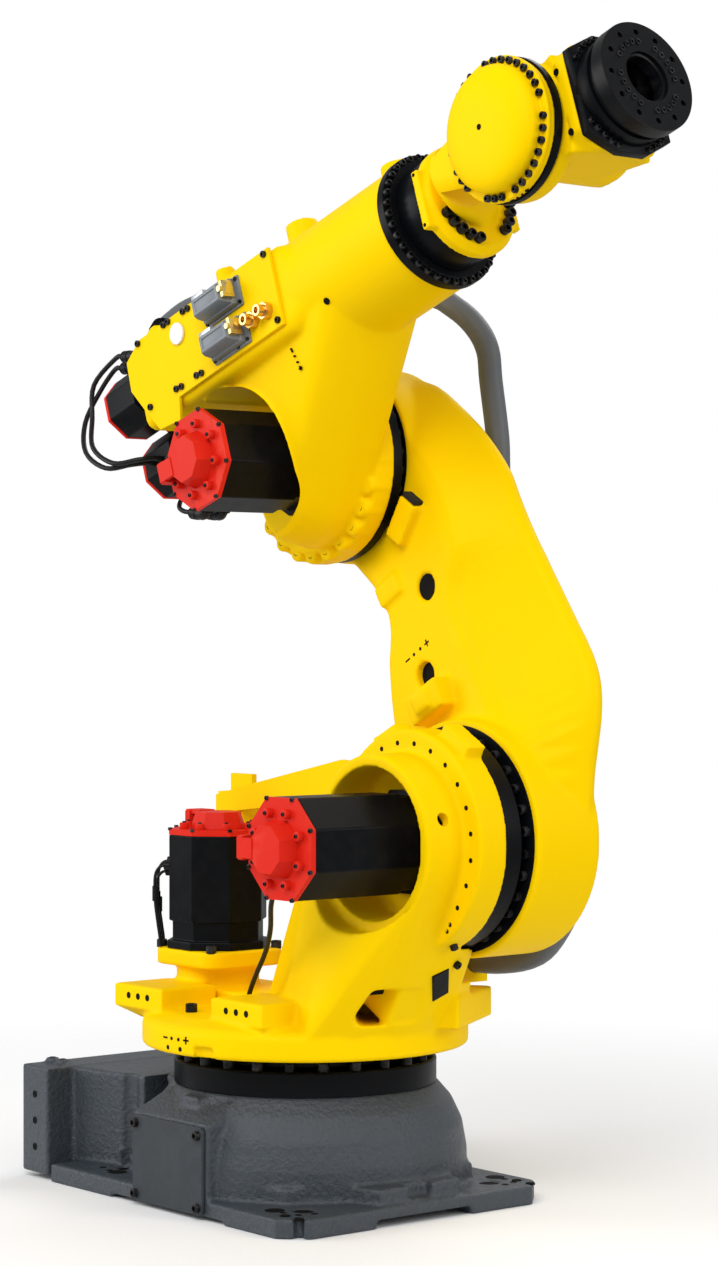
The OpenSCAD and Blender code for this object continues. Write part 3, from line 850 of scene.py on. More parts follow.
@dataclass
class BaseUnit:
    """The cast pedestal, its covers, the slewing ring and the rear connectors."""

    foundry: Foundry
    machinist: Machinist
    fasteners: Fasteners

    def build(self) -> None:
        """Builds and dresses every piece of the base."""
        side = [self.foundry.plug(toward(mm(-452, -302, z), (0, -1, 0)), 0.0075, 0.03) for z in (60, 110, 160)]
        tab = Bench.block(mm(-22, -268, 186), mm(30, -228, 207))
        self.foundry.cast("pedestal_casting", ["base_casting"], Body.BASE, GREY_CAST, [*side, tab])
        self.machinist.break_edges("base_side_cover", Body.BASE, GREY_PLATE, 0.0025)
        self.machinist.break_edges("rear_connector_plate", Body.BASE, DIE_CAST)
        self.machinist.break_edges("rear_connectors", Body.BASE, BLACK, 0.003)
        self.machinist.break_edges("slew_ring", Body.BASE, BLACK)
        self.screws()
        self.foot_holes()

    def screws(self) -> None:
        """Puts the screws and drilled holes of the base."""
        f = self.fasteners
        corners = [toward(mm(x, -308, z), (0, -1, 0)) for x in (-107, 84) for z in (22, 150)]
        f.put("side_cover_screws", Body.BASE, f.cap_screw(0.0085, 0.008), corners)
        f.put("slew_ring_bolts", Body.BASE, f.cap_screw(0.0105, 0.014), f.circle(Matrix.Identity(4), "Z", 0.259, 0.2285, range(0, 360, 15)))
        rim = [toward(mm(-505, y, z), (-1, 0, 0)) for y in (-264, -110, 44, 264) for z in (42, 182)]
        f.put("rear_plate_screws", Body.BASE, f.cap_screw(0.006, 0.005), rim)
        # The black hole mouths paint the shade inside the drilled holes.
        ends = [toward(mm(-452, -302, z), (0, -1, 0)) for z in (60, 110, 160)]
        f.put("rear_box_holes", Body.BASE, f.tapped_hole(0.007), ends, PAINTED_SHADE_AND_PRINT)
        tops = [toward(mm(x, y, 224), (0, 0, 1)) for x in (-470, -436) for y in (-250, 250)]
        f.put("rear_box_top_holes", Body.BASE, f.tapped_hole(0.006), tops, PAINTED_SHADE_AND_PRINT)
        f.put("pedestal_tab_holes", Body.BASE, f.tapped_hole(0.004), [toward(mm(x, -267, 198), (0, -1, 0)) for x in (-8, 16)], PAINTED_SHADE_AND_PRINT)

    def foot_holes(self) -> None:
        """Puts the small tapped holes round each anchor hole."""
        f = self.fasteners
        spots = [(x * 270 + dx, y * 215 + dy) for x in (-1, 1) for y in (-1, 1) for dx, dy in ((x * 38, y * 6), (-x * 4, y * 42), (x * 30, y * 34))]
        # The black hole mouths paint the shade inside the tapped, anchor and jack holes.
        f.put("foot_tapped_holes", Body.BASE, f.tapped_hole(0.0065), [toward(mm(x, y, 35), (0, 0, 1)) for x, y in spots], PAINTED_SHADE_AND_PRINT)
        anchors = [toward(mm(x * 270, y * 215, 31.5), (0, 0, 1)) for x in (-1, 1) for y in (-1, 1)]
        anchors += [toward(mm(x * 241, y * 256, 35), (0, 0, 1)) for x in (-1, 1) for y in (-1, 1)]
        f.put("anchor_hole_mouths", Body.BASE, f.tapped_hole(0.0180), anchors, PAINTED_SHADE_AND_PRINT)
        jacks = [toward(mm(x, y * 268, 35), (0, 0, 1)) for x in (287, 325) for y in (-1, 1)]
        f.put("jack_hole_mouths", Body.BASE, f.tapped_hole(0.0085), jacks, PAINTED_SHADE_AND_PRINT)


@dataclass
class TurntableUnit:
    """The turntable with the shoulder housing and two motors."""

    foundry: Foundry
    machinist: Machinist
    fasteners: Fasteners

    def build(self) -> None:
        """Builds and dresses every piece of the turntable."""
        f = self.fasteners
        ring = f.circle(LAYOUT.housing(), "Y", -0.018, 0.176, [7.5 + 15 * i for i in range(24)], flip=True)
        ears = [toward(mm(x + dx, -244, 366), (0, -1, 0)) for x in (-268, 36) for dx in (46, 76, 106)]
        plugs = [self.foundry.plug(p, 0.0062, 0.024) for p in ring] + [self.foundry.plug(p, 0.0066, 0.03) for p in ears]
        face = lined_up(mm(335, -23, 382), (0.875, 0, -0.484), (0, 1, 0))
        # shade is a black box that paints a patch of shade beside the rib on the column's face.
        rib, shade = Bench.block(mm(-36, -48, -110), mm(36, 44, -5)), Bench.block(mm(-70, 0, -80), mm(-34, 34, -42))
        for piece in (rib, shade):
            piece.data.transform(face)
        shade.name = "window_painted_shade"
        dress(shade, PAINTED_SHADE_AND_PRINT, Body.TURNTABLE)
        peep = Bench.bar(toward(mm(462, -60, 718.5), (0.947, 0, 0.321)), 0.0125, -0.040, 0.030, 32)
        self.foundry.cast("turntable_and_housing", ["turntable_casting", "shoulder_housing"], Body.TURNTABLE, YELLOW, [*plugs, rib], cuts=[peep])
        for node in ("slew_motor", "shoulder_motor"):
            self.machinist.break_edges(node, Body.TURNTABLE, BLACK, 0.003)
        for node in ("slew_motor_cap", "shoulder_motor_cap"):
            self.machinist.break_edges(node, Body.TURNTABLE, RED, 0.0025)
        self.machinist.break_edges("shoulder_ring", Body.TURNTABLE, BLACK)
        self.machinist.break_edges("cable_bracket", Body.TURNTABLE, YELLOW, 0.003)
        self.machinist.break_edges("hose_clamp", Body.TURNTABLE, YELLOW, 0.003)
        # The black hole mouths here and below paint the shade inside the drilled holes.
        f.put("housing_flange_holes", Body.TURNTABLE, f.tapped_hole(0.0045), ring, PAINTED_SHADE_AND_PRINT)
        under = [toward(mm(404, 14, 492), (0.465, 0, -0.885)), toward(mm(370, 49, 454), (0.849, 0.217, -0.481))]
        f.put("column_screws", Body.TURNTABLE, f.cap_screw(0.0075, 0.008), under)
        f.put("lifting_pad_holes", Body.TURNTABLE, f.tapped_hole(0.0062), ears, PAINTED_SHADE_AND_PRINT)
        plate = [toward(mm(-200 + x, -54 + y, 446), (0, 0, 1)) for x in (-76, 82) for y in (-76, 76)]
        f.put("slew_motor_bolts", Body.TURNTABLE, f.cap_screw(0.010, 0.012), plate)
        self.slew_motor_cables()
        self.shoulder_motor_cable()
        self.clamp_fittings()
        self.cap_screws("slew", Matrix.Translation(mm(-200, -54, 670)), (0, 0, 1))
        self.cap_screws("shoulder", Matrix.Translation(mm(312, -300, 670)), (0, -1, 0))
        self.marks()

    def marks(self) -> None:
        """Puts the slewing mark on the rim, small holes, a deck plug and a plain black plate."""
        f = self.fasteners
        f.travel_mark("slew_travel_mark", Body.TURNTABLE, lined_up(mm(7, -302, 313), (0.023, -1, 0), (1, 0.023, 0)), 0.0135, 0.302)
        # The black hole mouths paint the shade inside the small drilled holes.
        small = [toward(mm(x, -301.6, 296), (x / 300, -1, 0)) for x in (-15, 22)]
        small += [toward(mm(x, -18, z), (0, -1, 0)) for x, z in ((424, 520), (432, 532), (419, 536))]
        f.put("small_drilled_holes", Body.TURNTABLE, f.tapped_hole(0.0042), small, PAINTED_SHADE_AND_PRINT)
        f.put("deck_plug", Body.TURNTABLE, f.cap_screw(0.011, 0.014), [toward(mm(-70, -210, 347), (0, 0, 1))])
        plate = Bench.block(mm(-30, -18, -3), mm(30, 18, 2.5))
        Bench.round_edges(plate, 0.0008)
        plate.data.transform(lined_up(mm(352, 28, 417.5), (0.866, 0.1, -0.484), (1, -0.81, 1.622)))
        plate.name = "column_plate"
        dress(plate, BLACK, Body.TURNTABLE)

    def slew_motor_cables(self) -> None:
        """Builds the plugs and thin cables at the rear corner of the slewing motor."""
        f, tubes = self.fasteners, Tubes()
        out, across, axis = Vector((-0.7071, -0.7071, 0)), Vector((0.7071, -0.7071, 0)), mm(-200, -54, 0)
        plugs, joints, cables = [], [], []
        for shift, top in ((-0.019, 0.606), (0.001, 0.588), (0.020, 0.600)):
            spot = axis + across * shift
            plugs.append(toward(spot + out * 0.0875 + Vector((0, 0, top)), out))
            route = [(98, top), (107, top - 0.002), (115, top - 0.012), (118, top - 0.030), (117, 0.530), (112, 0.490), (108, 0.462), (107.5, 0.4465)]
            cables.append(tubes.sweep("cable", tubes.route([spot + out * (r / 1000) + Vector((0, 0, z)) for r, z in route]), 0.0029, 3))
            joints.append(Matrix.Translation(spot + out * 0.1165 + Vector((0, 0, 0.535 + shift * 0.6))))
        f.put("slew_motor_plugs", Body.TURNTABLE, f.knurled_nut(0.0085, 0.0, 0.012), plugs, CABLE)
        f.put("slew_cable_joints", Body.TURNTABLE, f.knurled_nut(0.0062, -0.014, 0.014), joints, CABLE)
        dress(Bench.join(cables, "slew_motor_cables"), CABLE, Body.TURNTABLE)

    def shoulder_motor_cable(self) -> None:
        """Builds the plug under the shoulder motor and its cable to the deck."""
        f, tubes = self.fasteners, Tubes()
        f.put("shoulder_motor_plug", Body.TURNTABLE, f.knurled_nut(0.013, -0.001, 0.018), [toward(mm(250, -250, 608), (-0.7071, 0, -0.7071))], CABLE)
        route = [(239, -250, 597), (230, -249, 588), (204, -236, 560), (163, -206, 515), (116, -181, 470), (64, -162, 425), (27, -149, 388), (12, -142, 364), (10, -141, 348)]
        dress(tubes.sweep("shoulder_motor_cable", tubes.route([mm(*p) for p in route]), 0.0046, 3), CABLE, Body.TURNTABLE)
        f.put("deck_grommet", Body.TURNTABLE, f.knurled_nut(0.010, -0.003, 0.008), [toward(mm(10, -141, 349), (0, 0, 1))], RUBBER)

    def clamp_fittings(self) -> None:
        """Builds the conduit's lower gland and the screws of its clamp."""
        f = self.fasteners
        f.put("conduit_lower_gland", Body.TURNTABLE, f.knurled_nut(0.029, 0.0, 0.016), [toward(mm(104, 284, 428), (-1, 0, 0))], BLACK)
        f.put("clamp_screws", Body.TURNTABLE, f.cap_screw(0.0065, 0.007), [toward(mm(x, 253, 454), (0, 0, 1)) for x in (110, 142)])

    def cap_screws(self, motor: str, place: Matrix, way: Point) -> None:
        """Puts the small screws at the corners of a motor's cap.

        Args:
            motor: which motor.
            place: the cap face's middle.
            way: the way that the face looks.
        """
        f = self.fasteners
        axis = "Z" if way[2] else "Y"
        turned = [22.5 + 45 * i for i in range(8)]
        f.put(motor + "_cap_screws", Body.TURNTABLE, f.cap_screw(0.0042, 0.003), f.circle(place, axis, 0.0, 0.093, turned, flip=way[1] < 0))
        f.cap_lugs(motor + "_cap_lugs", Body.TURNTABLE, place, axis, way[1] < 0)


@dataclass
class LowerArmUnit:
    """The offset lower arm with its stops and hubs."""

    foundry: Foundry
    machinist: Machinist
    fasteners: Fasteners

    def build(self) -> None:
        """Builds and dresses every piece of the lower arm."""
        f = self.fasteners
        self.foundry.cast("lower_arm_cast", ["lower_arm_casting"], Body.LOWER_ARM, YELLOW, (), None, 18)
        self.machinist.break_edges("arm_bumper", Body.LOWER_ARM, RUBBER, 0.002)
        clamp = self.machinist.break_edges("arm_clamp", Body.LOWER_ARM, BLACK, 0.003)
        clamp.data.transform(Matrix.Translation(LAYOUT.shoulder().to_3x3() @ mm(-56, 0, 0)))
        arm, top =LAYOUT.shoulder(), LAYOUT.shoulder() @ Matrix.Translation((0, 0, LAYOUT.arm_length))
        # The black discs stand for the dark ring and paint the shade in the groove over the arm's yellow face.
        f.put("shoulder_ring_and_shade_disc", Body.LOWER_ARM, f.ring_and_shade_disc(0.205, 0.0018), [arm @ toward(mm(0, 104, 0), (0, -1, 0))], BLACK)
        f.put("shoulder_rim_bolts", Body.LOWER_ARM, f.cap_screw(0.009, 0.009), f.circle(arm, "Y", 0.1022, 0.187, range(0, 360, 12), flip=True))
        f.put("elbow_ring_and_shade_disc", Body.LOWER_ARM, f.ring_and_shade_disc(0.181, 0.0018), [top @ toward(mm(0, 180, 0), (0, -1, 0))], BLACK)
        f.put("elbow_rim_bolts", Body.LOWER_ARM, f.cap_screw(0.0085, 0.005), f.circle(top, "Y", 0.1782, 0.168, range(0, 360, 12), flip=True))
        f.put("shoulder_hub_bolts", Body.LOWER_ARM, f.cap_screw(0.011, 0.010), f.circle(arm, "Y", 0.240, 0.118, range(0, 360, 18)))
        f.put("elbow_hub_bolts", Body.LOWER_ARM, f.cap_screw(0.010, 0.009), f.circle(top, "Y", 0.290, 0.104, range(0, 360, 18)))
        deep = [arm @ toward(mm(x, 175, z), (0, -1, 0)) for x, z in ((92, 475.8), (15, 331.7))]
        f.put("arm_hole_shadows", Body.LOWER_ARM, f.tapped_hole(0.0252), deep, PAINTED_SHADE_AND_PRINT)
        f.travel_mark("shoulder_travel_mark", Body.LOWER_ARM, arm @ toward(mm(17, 161.5, 381), (0, -1, 0)), 0.014)


@dataclass
class ForearmUnit:
    """The forearm with its motors, side panel and roll ring.

    Attributes:
        boss_turns: where the bolt bosses stand round the elbow, in degrees from straight up.
        plug_spots: where the wrist motors' plugs stand, in millimetres in the forearm's frame.
    """

    foundry: Foundry
    machinist: Machinist
    fasteners: Fasteners
    boss_turns: tuple[float, ...] = (108, 124, 139, 154, 169, 184, 199, 214, 231, 248)
    plug_spots: tuple[Point, ...] = ((-290, -52, 292), (-238, -84, 292), (-290, 66, 292), (-238, 40, 292))

    def build(self) -> None:
        """Builds and dresses every piece of the forearm."""
        f, fore = self.fasteners, LAYOUT.elbow()
        bosses = [fore @ toward((0.172 * math.sin(math.radians(a)), 0.092, 0.172 * math.cos(math.radians(a))), (0, -1, 0)) for a in self.boss_turns]
        plugs = [self.foundry.plug(p, 0.008, 0.03) for p in bosses]
        axis = fore @ toward((0, 0, 0), (0, 1, 0))
        core, bore = Bench.bar(axis, 0.1375, -0.100, 0.0598, 96), Bench.bar(axis, 0.139, -0.250, 0.0612, 128)
        stub = Bench.bar(fore, 0.019, 0.300, 0.380, 32)
        stub.data.transform(Matrix.Translation(fore.to_3x3() @ mm(31, -40, 0)))
        self.foundry.cast("forearm_cast", ["forearm_casting"], Body.FOREARM, YELLOW, [*plugs, core, stub], 0.0036, None, [bore])
        # The black hole mouths here and below paint the shade inside the drilled holes.
        f.put("casing_boss_holes", Body.FOREARM, f.tapped_hole(0.0066), bosses, PAINTED_SHADE_AND_PRINT)
        f.put("casing_side_hole", Body.FOREARM, f.tapped_hole(0.0065), [fore @ toward(mm(370.6, -105.5, 159.3), (0.015, -0.854, -0.52))], PAINTED_SHADE_AND_PRINT)
        f.travel_mark("elbow_travel_mark", Body.FOREARM, fore @ lined_up(mm(241.6, -94.8, 103.0), (-0.05, -0.985, -0.165), (7.8, 7.8, -46.1)), 0.0085)
        for node, finish, edge in (
            ("elbow_flange", BLACK, 0.0015), ("elbow_motor", BLACK, 0.003), ("elbow_motor_cap", RED, 0.0025), ("side_panel", YELLOW, 0.002),
            ("air_fittings", BRASS, 0.001), ("panel_cap", WHITE, 0.002), ("wrist_motors", BLACK, 0.003),
            ("wrist_motor_caps", RED, 0.002), ("roll_ring", BLACK, 0.002)):
            self.machinist.break_edges(node, Body.FOREARM, finish, edge)
        f.put("roll_ring_bolts", Body.FOREARM, f.cap_screw(0.0062, 0.006), f.circle(LAYOUT.roll(), "Z", LAYOUT.roll_x - 0.006, 0.119, range(0, 360, 10)))
        spots = [(261, 301), (262, 171), (141, 172), (15, 171), (-1, 173), (-52, 172), (-69, 174), (-159, 174), (-159, 305), (-69, 305), (-54, 305), (-3, 304), (13, 303)]
        f.put("panel_screws", Body.FOREARM, f.cap_screw(0.0065, 0.005), [fore @ toward(mm(x, -132, z - 2), (0, -1, 0)) for x, z in spots])
        # The black hole mouths paint the shade inside the top boss holes.
        tops = [fore @ toward(mm(x, y, z), (0, 0, 1)) for x, y, z in ((218, 10, 393), (311, 20, 364), (392, 20, 362), (504, 10, 375))]
        f.put("top_boss_holes", Body.FOREARM, f.tapped_hole(0.009), tops, PAINTED_SHADE_AND_PRINT)
        self.hooded_connectors()
        self.plug_elbows()
        self.elbow_motor_cables()
        self.hose_gland()
        cap = fore @ Matrix.Translation(mm(0, -175, 0))
        f.put("elbow_cap_screws", Body.FOREARM, f.cap_screw(0.0042, 0.003), f.circle(cap, "Y", 0.0, 0.093, [22.5 + 45 * i for i in range(8)], flip=True))
        f.cap_lugs("elbow_cap_lugs", Body.FOREARM, cap, "Y", True)

    def hooded_connectors(self) -> None:
        """Builds the two rectangular connectors of the panel with lids, clips and screws."""
        f, fore = self.fasteners, LAYOUT.elbow()
        shells, clips, lids, screws = [], [], [], []
        for z in (166, 240):
            plate = Bench.block(mm(62, -137, z - 3), mm(178, -131, z + 57))
            Bench.round_edges(plate, 0.0025)
            shells += [plate, self.hood(z)]
            lid = Bench.block(mm(66, -164, z + 46), mm(104, -139, z + 58))
            Bench.round_edges(lid, 0.002)
            lids.append(lid)
            clips.append(self.clip(z))
            screws += [fore @ toward(mm(x, -137, z + dz), (0, -1, 0)) for x in (67, 173) for dz in (4, 50)]
        for name, parts, finish in (("connector_hoods", shells, DIE_CAST), ("connector_lids", lids, ZINC), ("connector_clips", clips, CHROMATE)):
            piece = Bench.join(parts, name)
            piece.data.transform(fore)
            Bench.smooth(piece, 30.0)
            if name == "connector_hoods":
                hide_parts("panel_connectors")
            dress(piece, finish, Body.FOREARM)
        f.put("connector_screws", Body.FOREARM, f.cap_screw(0.0038, 0.003), screws)

    @staticmethod
    def hood(z: float) -> bpy.types.Object:
        """Models one connector's hood over its plate, with a lip and a recessed front."""
        hood = Bench.block(mm(72, -150, z + 2), mm(168, -136, z + 52))
        Bench.pick(hood, lambda centre, normal: normal.y < -0.9)
        bpy.ops.mesh.inset(thickness=0.003)
        bpy.ops.mesh.extrude_region_move(TRANSFORM_OT_translate={"value": (0, -0.018, 0)})
        bpy.ops.transform.resize(value=(0.95, 1.0, 0.88))
        bpy.ops.mesh.extrude_region_move(TRANSFORM_OT_translate={"value": (0, -0.009, 0)})
        bpy.ops.transform.resize(value=(0.92, 1.0, 0.8))
        bpy.ops.mesh.inset(thickness=0.006)
        bpy.ops.mesh.extrude_region_move(TRANSFORM_OT_translate={"value": (0, 0.0025, 0)})
        Bench.done()
        Bench.round_edges(hood, 0.003, 30.0, 3)
        return hood

    @staticmethod
    def clip(z: float) -> bpy.types.Object:
        """Models the sprung clip at the front end of one connector."""
        blade = Bench.block(mm(160, -172, z + 14), mm(172, -146, z + 46))
        Bench.pick(blade, lambda centre, normal: normal.x > 0.9)
        bpy.ops.mesh.inset(thickness=0.004)
        bpy.ops.mesh.extrude_region_move(TRANSFORM_OT_translate={"value": (0.0015, 0, 0)})
        Bench.done()
        Bench.round_edges(blade, 0.0015)
        pin = Bench.cylinder(0.0055, -0.003, 0.003, 16)
        pin.data.transform(Matrix.Translation(mm(166, -174, z + 30)) @ Matrix.Rotation(math.radians(90), 4, "X"))
        return Bench.join([blade, pin], "clip")

    def plug_elbows(self) -> None:
        """Builds the angled plugs of the wrist motors."""
        fore = LAYOUT.elbow()
        piece = Bench.repeat(self.fasteners.plug_elbow(), [fore @ Matrix.Translation(mm(*p)) for p in self.plug_spots], "plug_elbows")
        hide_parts("lead_elbows")
        dress(piece, CABLE, Body.FOREARM)

    def elbow_motor_cables(self) -> None:
        """Builds the plugs under the elbow motor and their cables to the rear box."""
        f, fore, tubes = self.fasteners, LAYOUT.elbow(), Tubes()
        side = Matrix(((0.7071, 0, -0.7071, 0), (0, -1, 0, 0), (-0.7071, 0, -0.7071, 0), (0, 0, 0, 1)))
        plugs, cables = [], []
        for y, aim in ((-122, -36), (-84, -8)):
            plugs.append(fore @ Matrix.Translation(mm(-61.5, y, -61.5)) @ side)
            route = [(-117, y, -58), (-136, y, -49), (-176, y + (aim - y) * 0.25, -26), (-214, y + (aim - y) * 0.65, 2), (-234, aim, 30), (-238, aim, 48.6)]
            cables.append(tubes.sweep("cable", tubes.route([fore @ mm(*p) for p in route]), 0.0046, 3))
        f.put("elbow_motor_plugs", Body.FOREARM, f.plug_elbow(), plugs, CABLE)
        dress(Bench.join(cables, "elbow_motor_cables"), CABLE, Body.FOREARM)

    def hose_gland(self) -> None:
        """Builds the ribbed nut that holds the conduit's upper end."""
        f, fore = self.fasteners, LAYOUT.elbow()
        place = fore @ toward(mm(-164, -62.9, 330.7), (0, 0.6428, 0.7660))
        f.put("conduit_gland_nut", Body.FOREARM, f.knurled_nut(0.0295, -0.006, 0.014), [place], BLACK)


@dataclass
class WristUnit:
    """The one-sided wrist, its dome, the block and the tool flange."""

    foundry: Foundry
    machinist: Machinist
    fasteners: Fasteners

    def build(self) -> None:
        """Builds and dresses every piece of the wrist."""
        f, wrist = self.fasteners, LAYOUT.wrist()
        self.housing()
        self.dome()
        self.foundry.cast("wrist_body", ["wrist_block"], Body.WRIST_BEND, YELLOW, (), 0.003, 9)
        self.machinist.break_edges("wrist_ring", Body.WRIST_ROLL, BLACK, 0.002)
        self.plate()
        self.flange()
        # The black hole mouths paint the shade inside the side holes.
        sides = [wrist @ toward(mm(120, -95, z), (0, -1, 0)) for z in (49, -59)]
        f.put("wrist_side_holes", Body.WRIST_BEND, f.tapped_hole(0.0062), sides, PAINTED_SHADE_AND_PRINT)

    def housing(self) -> None:
        """Pours the one-sided housing: bolted foot, short neck and the dome's seat."""
        f, fore, wrist = self.fasteners, LAYOUT.elbow(), LAYOUT.wrist()
        foot, seat = fore @ toward(mm(656, 0, 225), (1, 0, 0)), wrist @ toward(mm(0, -116, 0), (0, -1, 0))
        disc = Bench.cylinder(0.104, 0.0, 0.015, 72)
        Bench.pick(disc, lambda centre, normal: normal.z > 0.9)
        bpy.ops.mesh.extrude_region_move(TRANSFORM_OT_translate={"value": (0, 0, 0.012)})
        bpy.ops.transform.resize(value=(0.895, 0.895, 1.0))
        Bench.done()
        disc.data.transform(foot)
        lobes = [Bench.block(mm(657, s * 107, 225 + s * 60), mm(674, s * 60, 225 - s * 48)) for s in (-1, 1)]
        for lobe in lobes:
            lobe.data.transform(fore)
        root = fore @ toward(mm(680, -4, 225), (1, 0, 0))
        bend = fore @ toward(mm(722, -68, 234), (1, 0, 0))
        flare = Bench.hull([Bench.bar(root, 0.057, 0.0, 0.006), Bench.bar(bend, 0.057, 0.0, 0.004)])
        neck = Bench.hull([Bench.bar(bend, 0.057, 0.0, 0.004), Bench.bar(seat, 0.066, 0.0, 0.012)])
        rim = Bench.bar(seat, 0.119, 0.0, 0.012, 96)
        axis = wrist @ toward((0, 0, 0), (0, 1, 0))
        cuts = [Bench.bar(axis, 0.188, -0.116, 0.300, 128), Bench.bar(axis, 0.0615, -0.150, 0.010, 64)]
        self.foundry.cast("wrist_housing", ["wrist_yoke"], Body.WRIST_ROLL, YELLOW, [disc, *lobes, flare, neck, rim], 0.0026, 6, cuts, True)
        drum = Bench.bar(LAYOUT.roll(), 0.100, 0.600, 0.657, 96)
        Bench.round_edges(drum, 0.002)
        Bench.smooth(drum, 30.0)
        drum.name = "roll_drum"
        dress(drum, BLACK, Body.WRIST_ROLL)
        # The black hole mouths paint the shade inside the lobe holes.
        f.put("wrist_lobe_holes", Body.WRIST_ROLL, f.tapped_hole(0.0034), [fore @ toward(mm(664, -107.2, z), (0, -1, 0)) for z in (266, 172)], PAINTED_SHADE_AND_PRINT)
        f.travel_mark("bend_travel_mark", Body.WRIST_ROLL, wrist @ lined_up(mm(0, -122, -119.6), (0, 0, -1), (1, 0, 0)), 0.0085, 0.1196)
        groups = [a + 90 for a in (-153, -139, -125, -111, -97, -46, -32, -18, -4, 44, 58, 72, 112, 126, 140, 154)]
        f.put("wrist_foot_bolts", Body.WRIST_ROLL, f.cap_screw(0.0095, 0.013), f.circle(LAYOUT.roll(), "Z", 0.6825, 0.080, groups))

    def dome(self) -> None:
        """Turns the domed cover and puts its screws."""
        f, wrist = self.fasteners, LAYOUT.wrist()
        cover = Bench.cylinder(0.122, 0.0, 0.008, 128)
        Bench.pick(cover, lambda centre, normal: normal.z > 0.9)
        bpy.ops.mesh.inset(thickness=0.0155)
        bpy.ops.mesh.extrude_region_move(TRANSFORM_OT_translate={"value": (0, 0, 0.013)})
        for narrower, higher in ((1.5, 5.0), (4.0, 6.0), (7.0, 5.5), (11.0, 4.6), (17.0, 3.6), (22.0, 2.3), (22.0, 1.0)):
            bpy.ops.mesh.inset(thickness=narrower / 1000, depth=higher / 1000)
        Bench.done()
        Bench.round_edges(cover, 0.0025, 50.0, 3)
        cover.data.transform(wrist @ toward(mm(0, -128, 0), (0, -1, 0)))
        cover.name = "wrist_dome"
        Bench.smooth(cover, 40.0)
        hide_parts("dome_cover")
        dress(cover, YELLOW, Body.WRIST_ROLL)
        angles = [*range(275, 346, 10), 258, 249, 240, 212, 202, 192, *range(5, 86, 10), *range(105, 176, 10)]
        f.put("dome_screws", Body.WRIST_ROLL, f.cap_screw(0.0064, 0.007), f.circle(wrist, "Y", -0.1355, 0.1142, angles, flip=True))
        # The black hole mouth paints the shade inside the dome's hole.
        f.put("dome_hole", Body.WRIST_ROLL, f.tapped_hole(0.005), [wrist @ toward(mm(0, -177.4, 0), (0, -1, 0))], PAINTED_SHADE_AND_PRINT)

    def plate(self) -> None:
        """Builds the tall eight-sided plate behind the tool flange and puts its screws."""
        f, wrist = self.fasteners, LAYOUT.wrist()
        plate = Bench.block(mm(140, -93, -75), mm(158, 93, 75))
        for way in (1, -1):
            Bench.pick(plate, lambda centre, normal: normal.z * way > 0.9)
            bpy.ops.mesh.extrude_region_move(TRANSFORM_OT_translate={"value": (0, 0, way * 0.030)})
            bpy.ops.transform.resize(value=(1.0, 0.34, 1.0))
            Bench.done()
        Bench.round_edges(plate, 0.002)
        along = toward(mm(0, 0, 0), (1, 0, 0))
        rings = [Bench.bar(along, radius, low, high, 96) for radius, low, high in ((0.0935, 0.150, 0.183), (0.0885, 0.182, 0.192))]
        for piece in (plate, *rings):
            bore = Bench.bar(along, 0.0603, 0.100, 0.250, 96)
            Bench.modify(piece, "BOOLEAN", operation="DIFFERENCE", object=bore)
            bpy.data.objects.remove(bore)
        for ring in rings:
            Bench.round_edges(ring, 0.0012)
        piece = Bench.join([plate, *rings], "tool_plate_finished")
        Bench.smooth(piece, 30.0)
        piece.data.transform(wrist)
        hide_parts("tool_plate")
        dress(piece, BLACK, Body.WRIST_BEND)
        groups = [start + 9 * i for start in (34, 110, 214, 290) for i in range(5)]
        f.put("tool_plate_bolts", Body.WRIST_BEND, f.cap_screw(0.0048, 0.006), f.circle(wrist, "X", 0.158, 0.102, groups))

    def flange(self) -> None:
        """Finishes the tool flange, with its deep recess and inner hub, and puts its screws."""
        f, wrist = self.fasteners, LAYOUT.wrist()
        flange = self.machinist.break_edges("tool_flange", Body.TOOL, FLANGE_BLACK, 0.0012)
        back, out = wrist.inverted(), wrist.to_3x3() @ Vector((1, 0, 0))
        Bench.only(flange)
        Bench.pick(flange, lambda centre, normal: abs((back @ centre).x - 0.217) < 0.0005 and normal.dot(out) > 0.9)
        bpy.ops.mesh.inset(thickness=0.004)
        bpy.ops.mesh.extrude_region_move(TRANSFORM_OT_translate={"value": tuple(out * -0.026)})
        bpy.ops.mesh.inset(thickness=0.013)
        bpy.ops.mesh.extrude_region_move(TRANSFORM_OT_translate={"value": tuple(out * 0.012)})
        bpy.ops.mesh.inset(thickness=0.010)
        bpy.ops.mesh.extrude_region_move(TRANSFORM_OT_translate={"value": tuple(out * -0.010)})
        Bench.done()
        inner = [a for start in (30, 120, 210, 300) for a in range(start - 28, start + 29, 14)]
        f.put("flange_inner_bolts", Body.TOOL, f.cap_screw(0.0052, 0.003), f.circle(wrist, "X", 0.2243, 0.062, inner), BOLT)


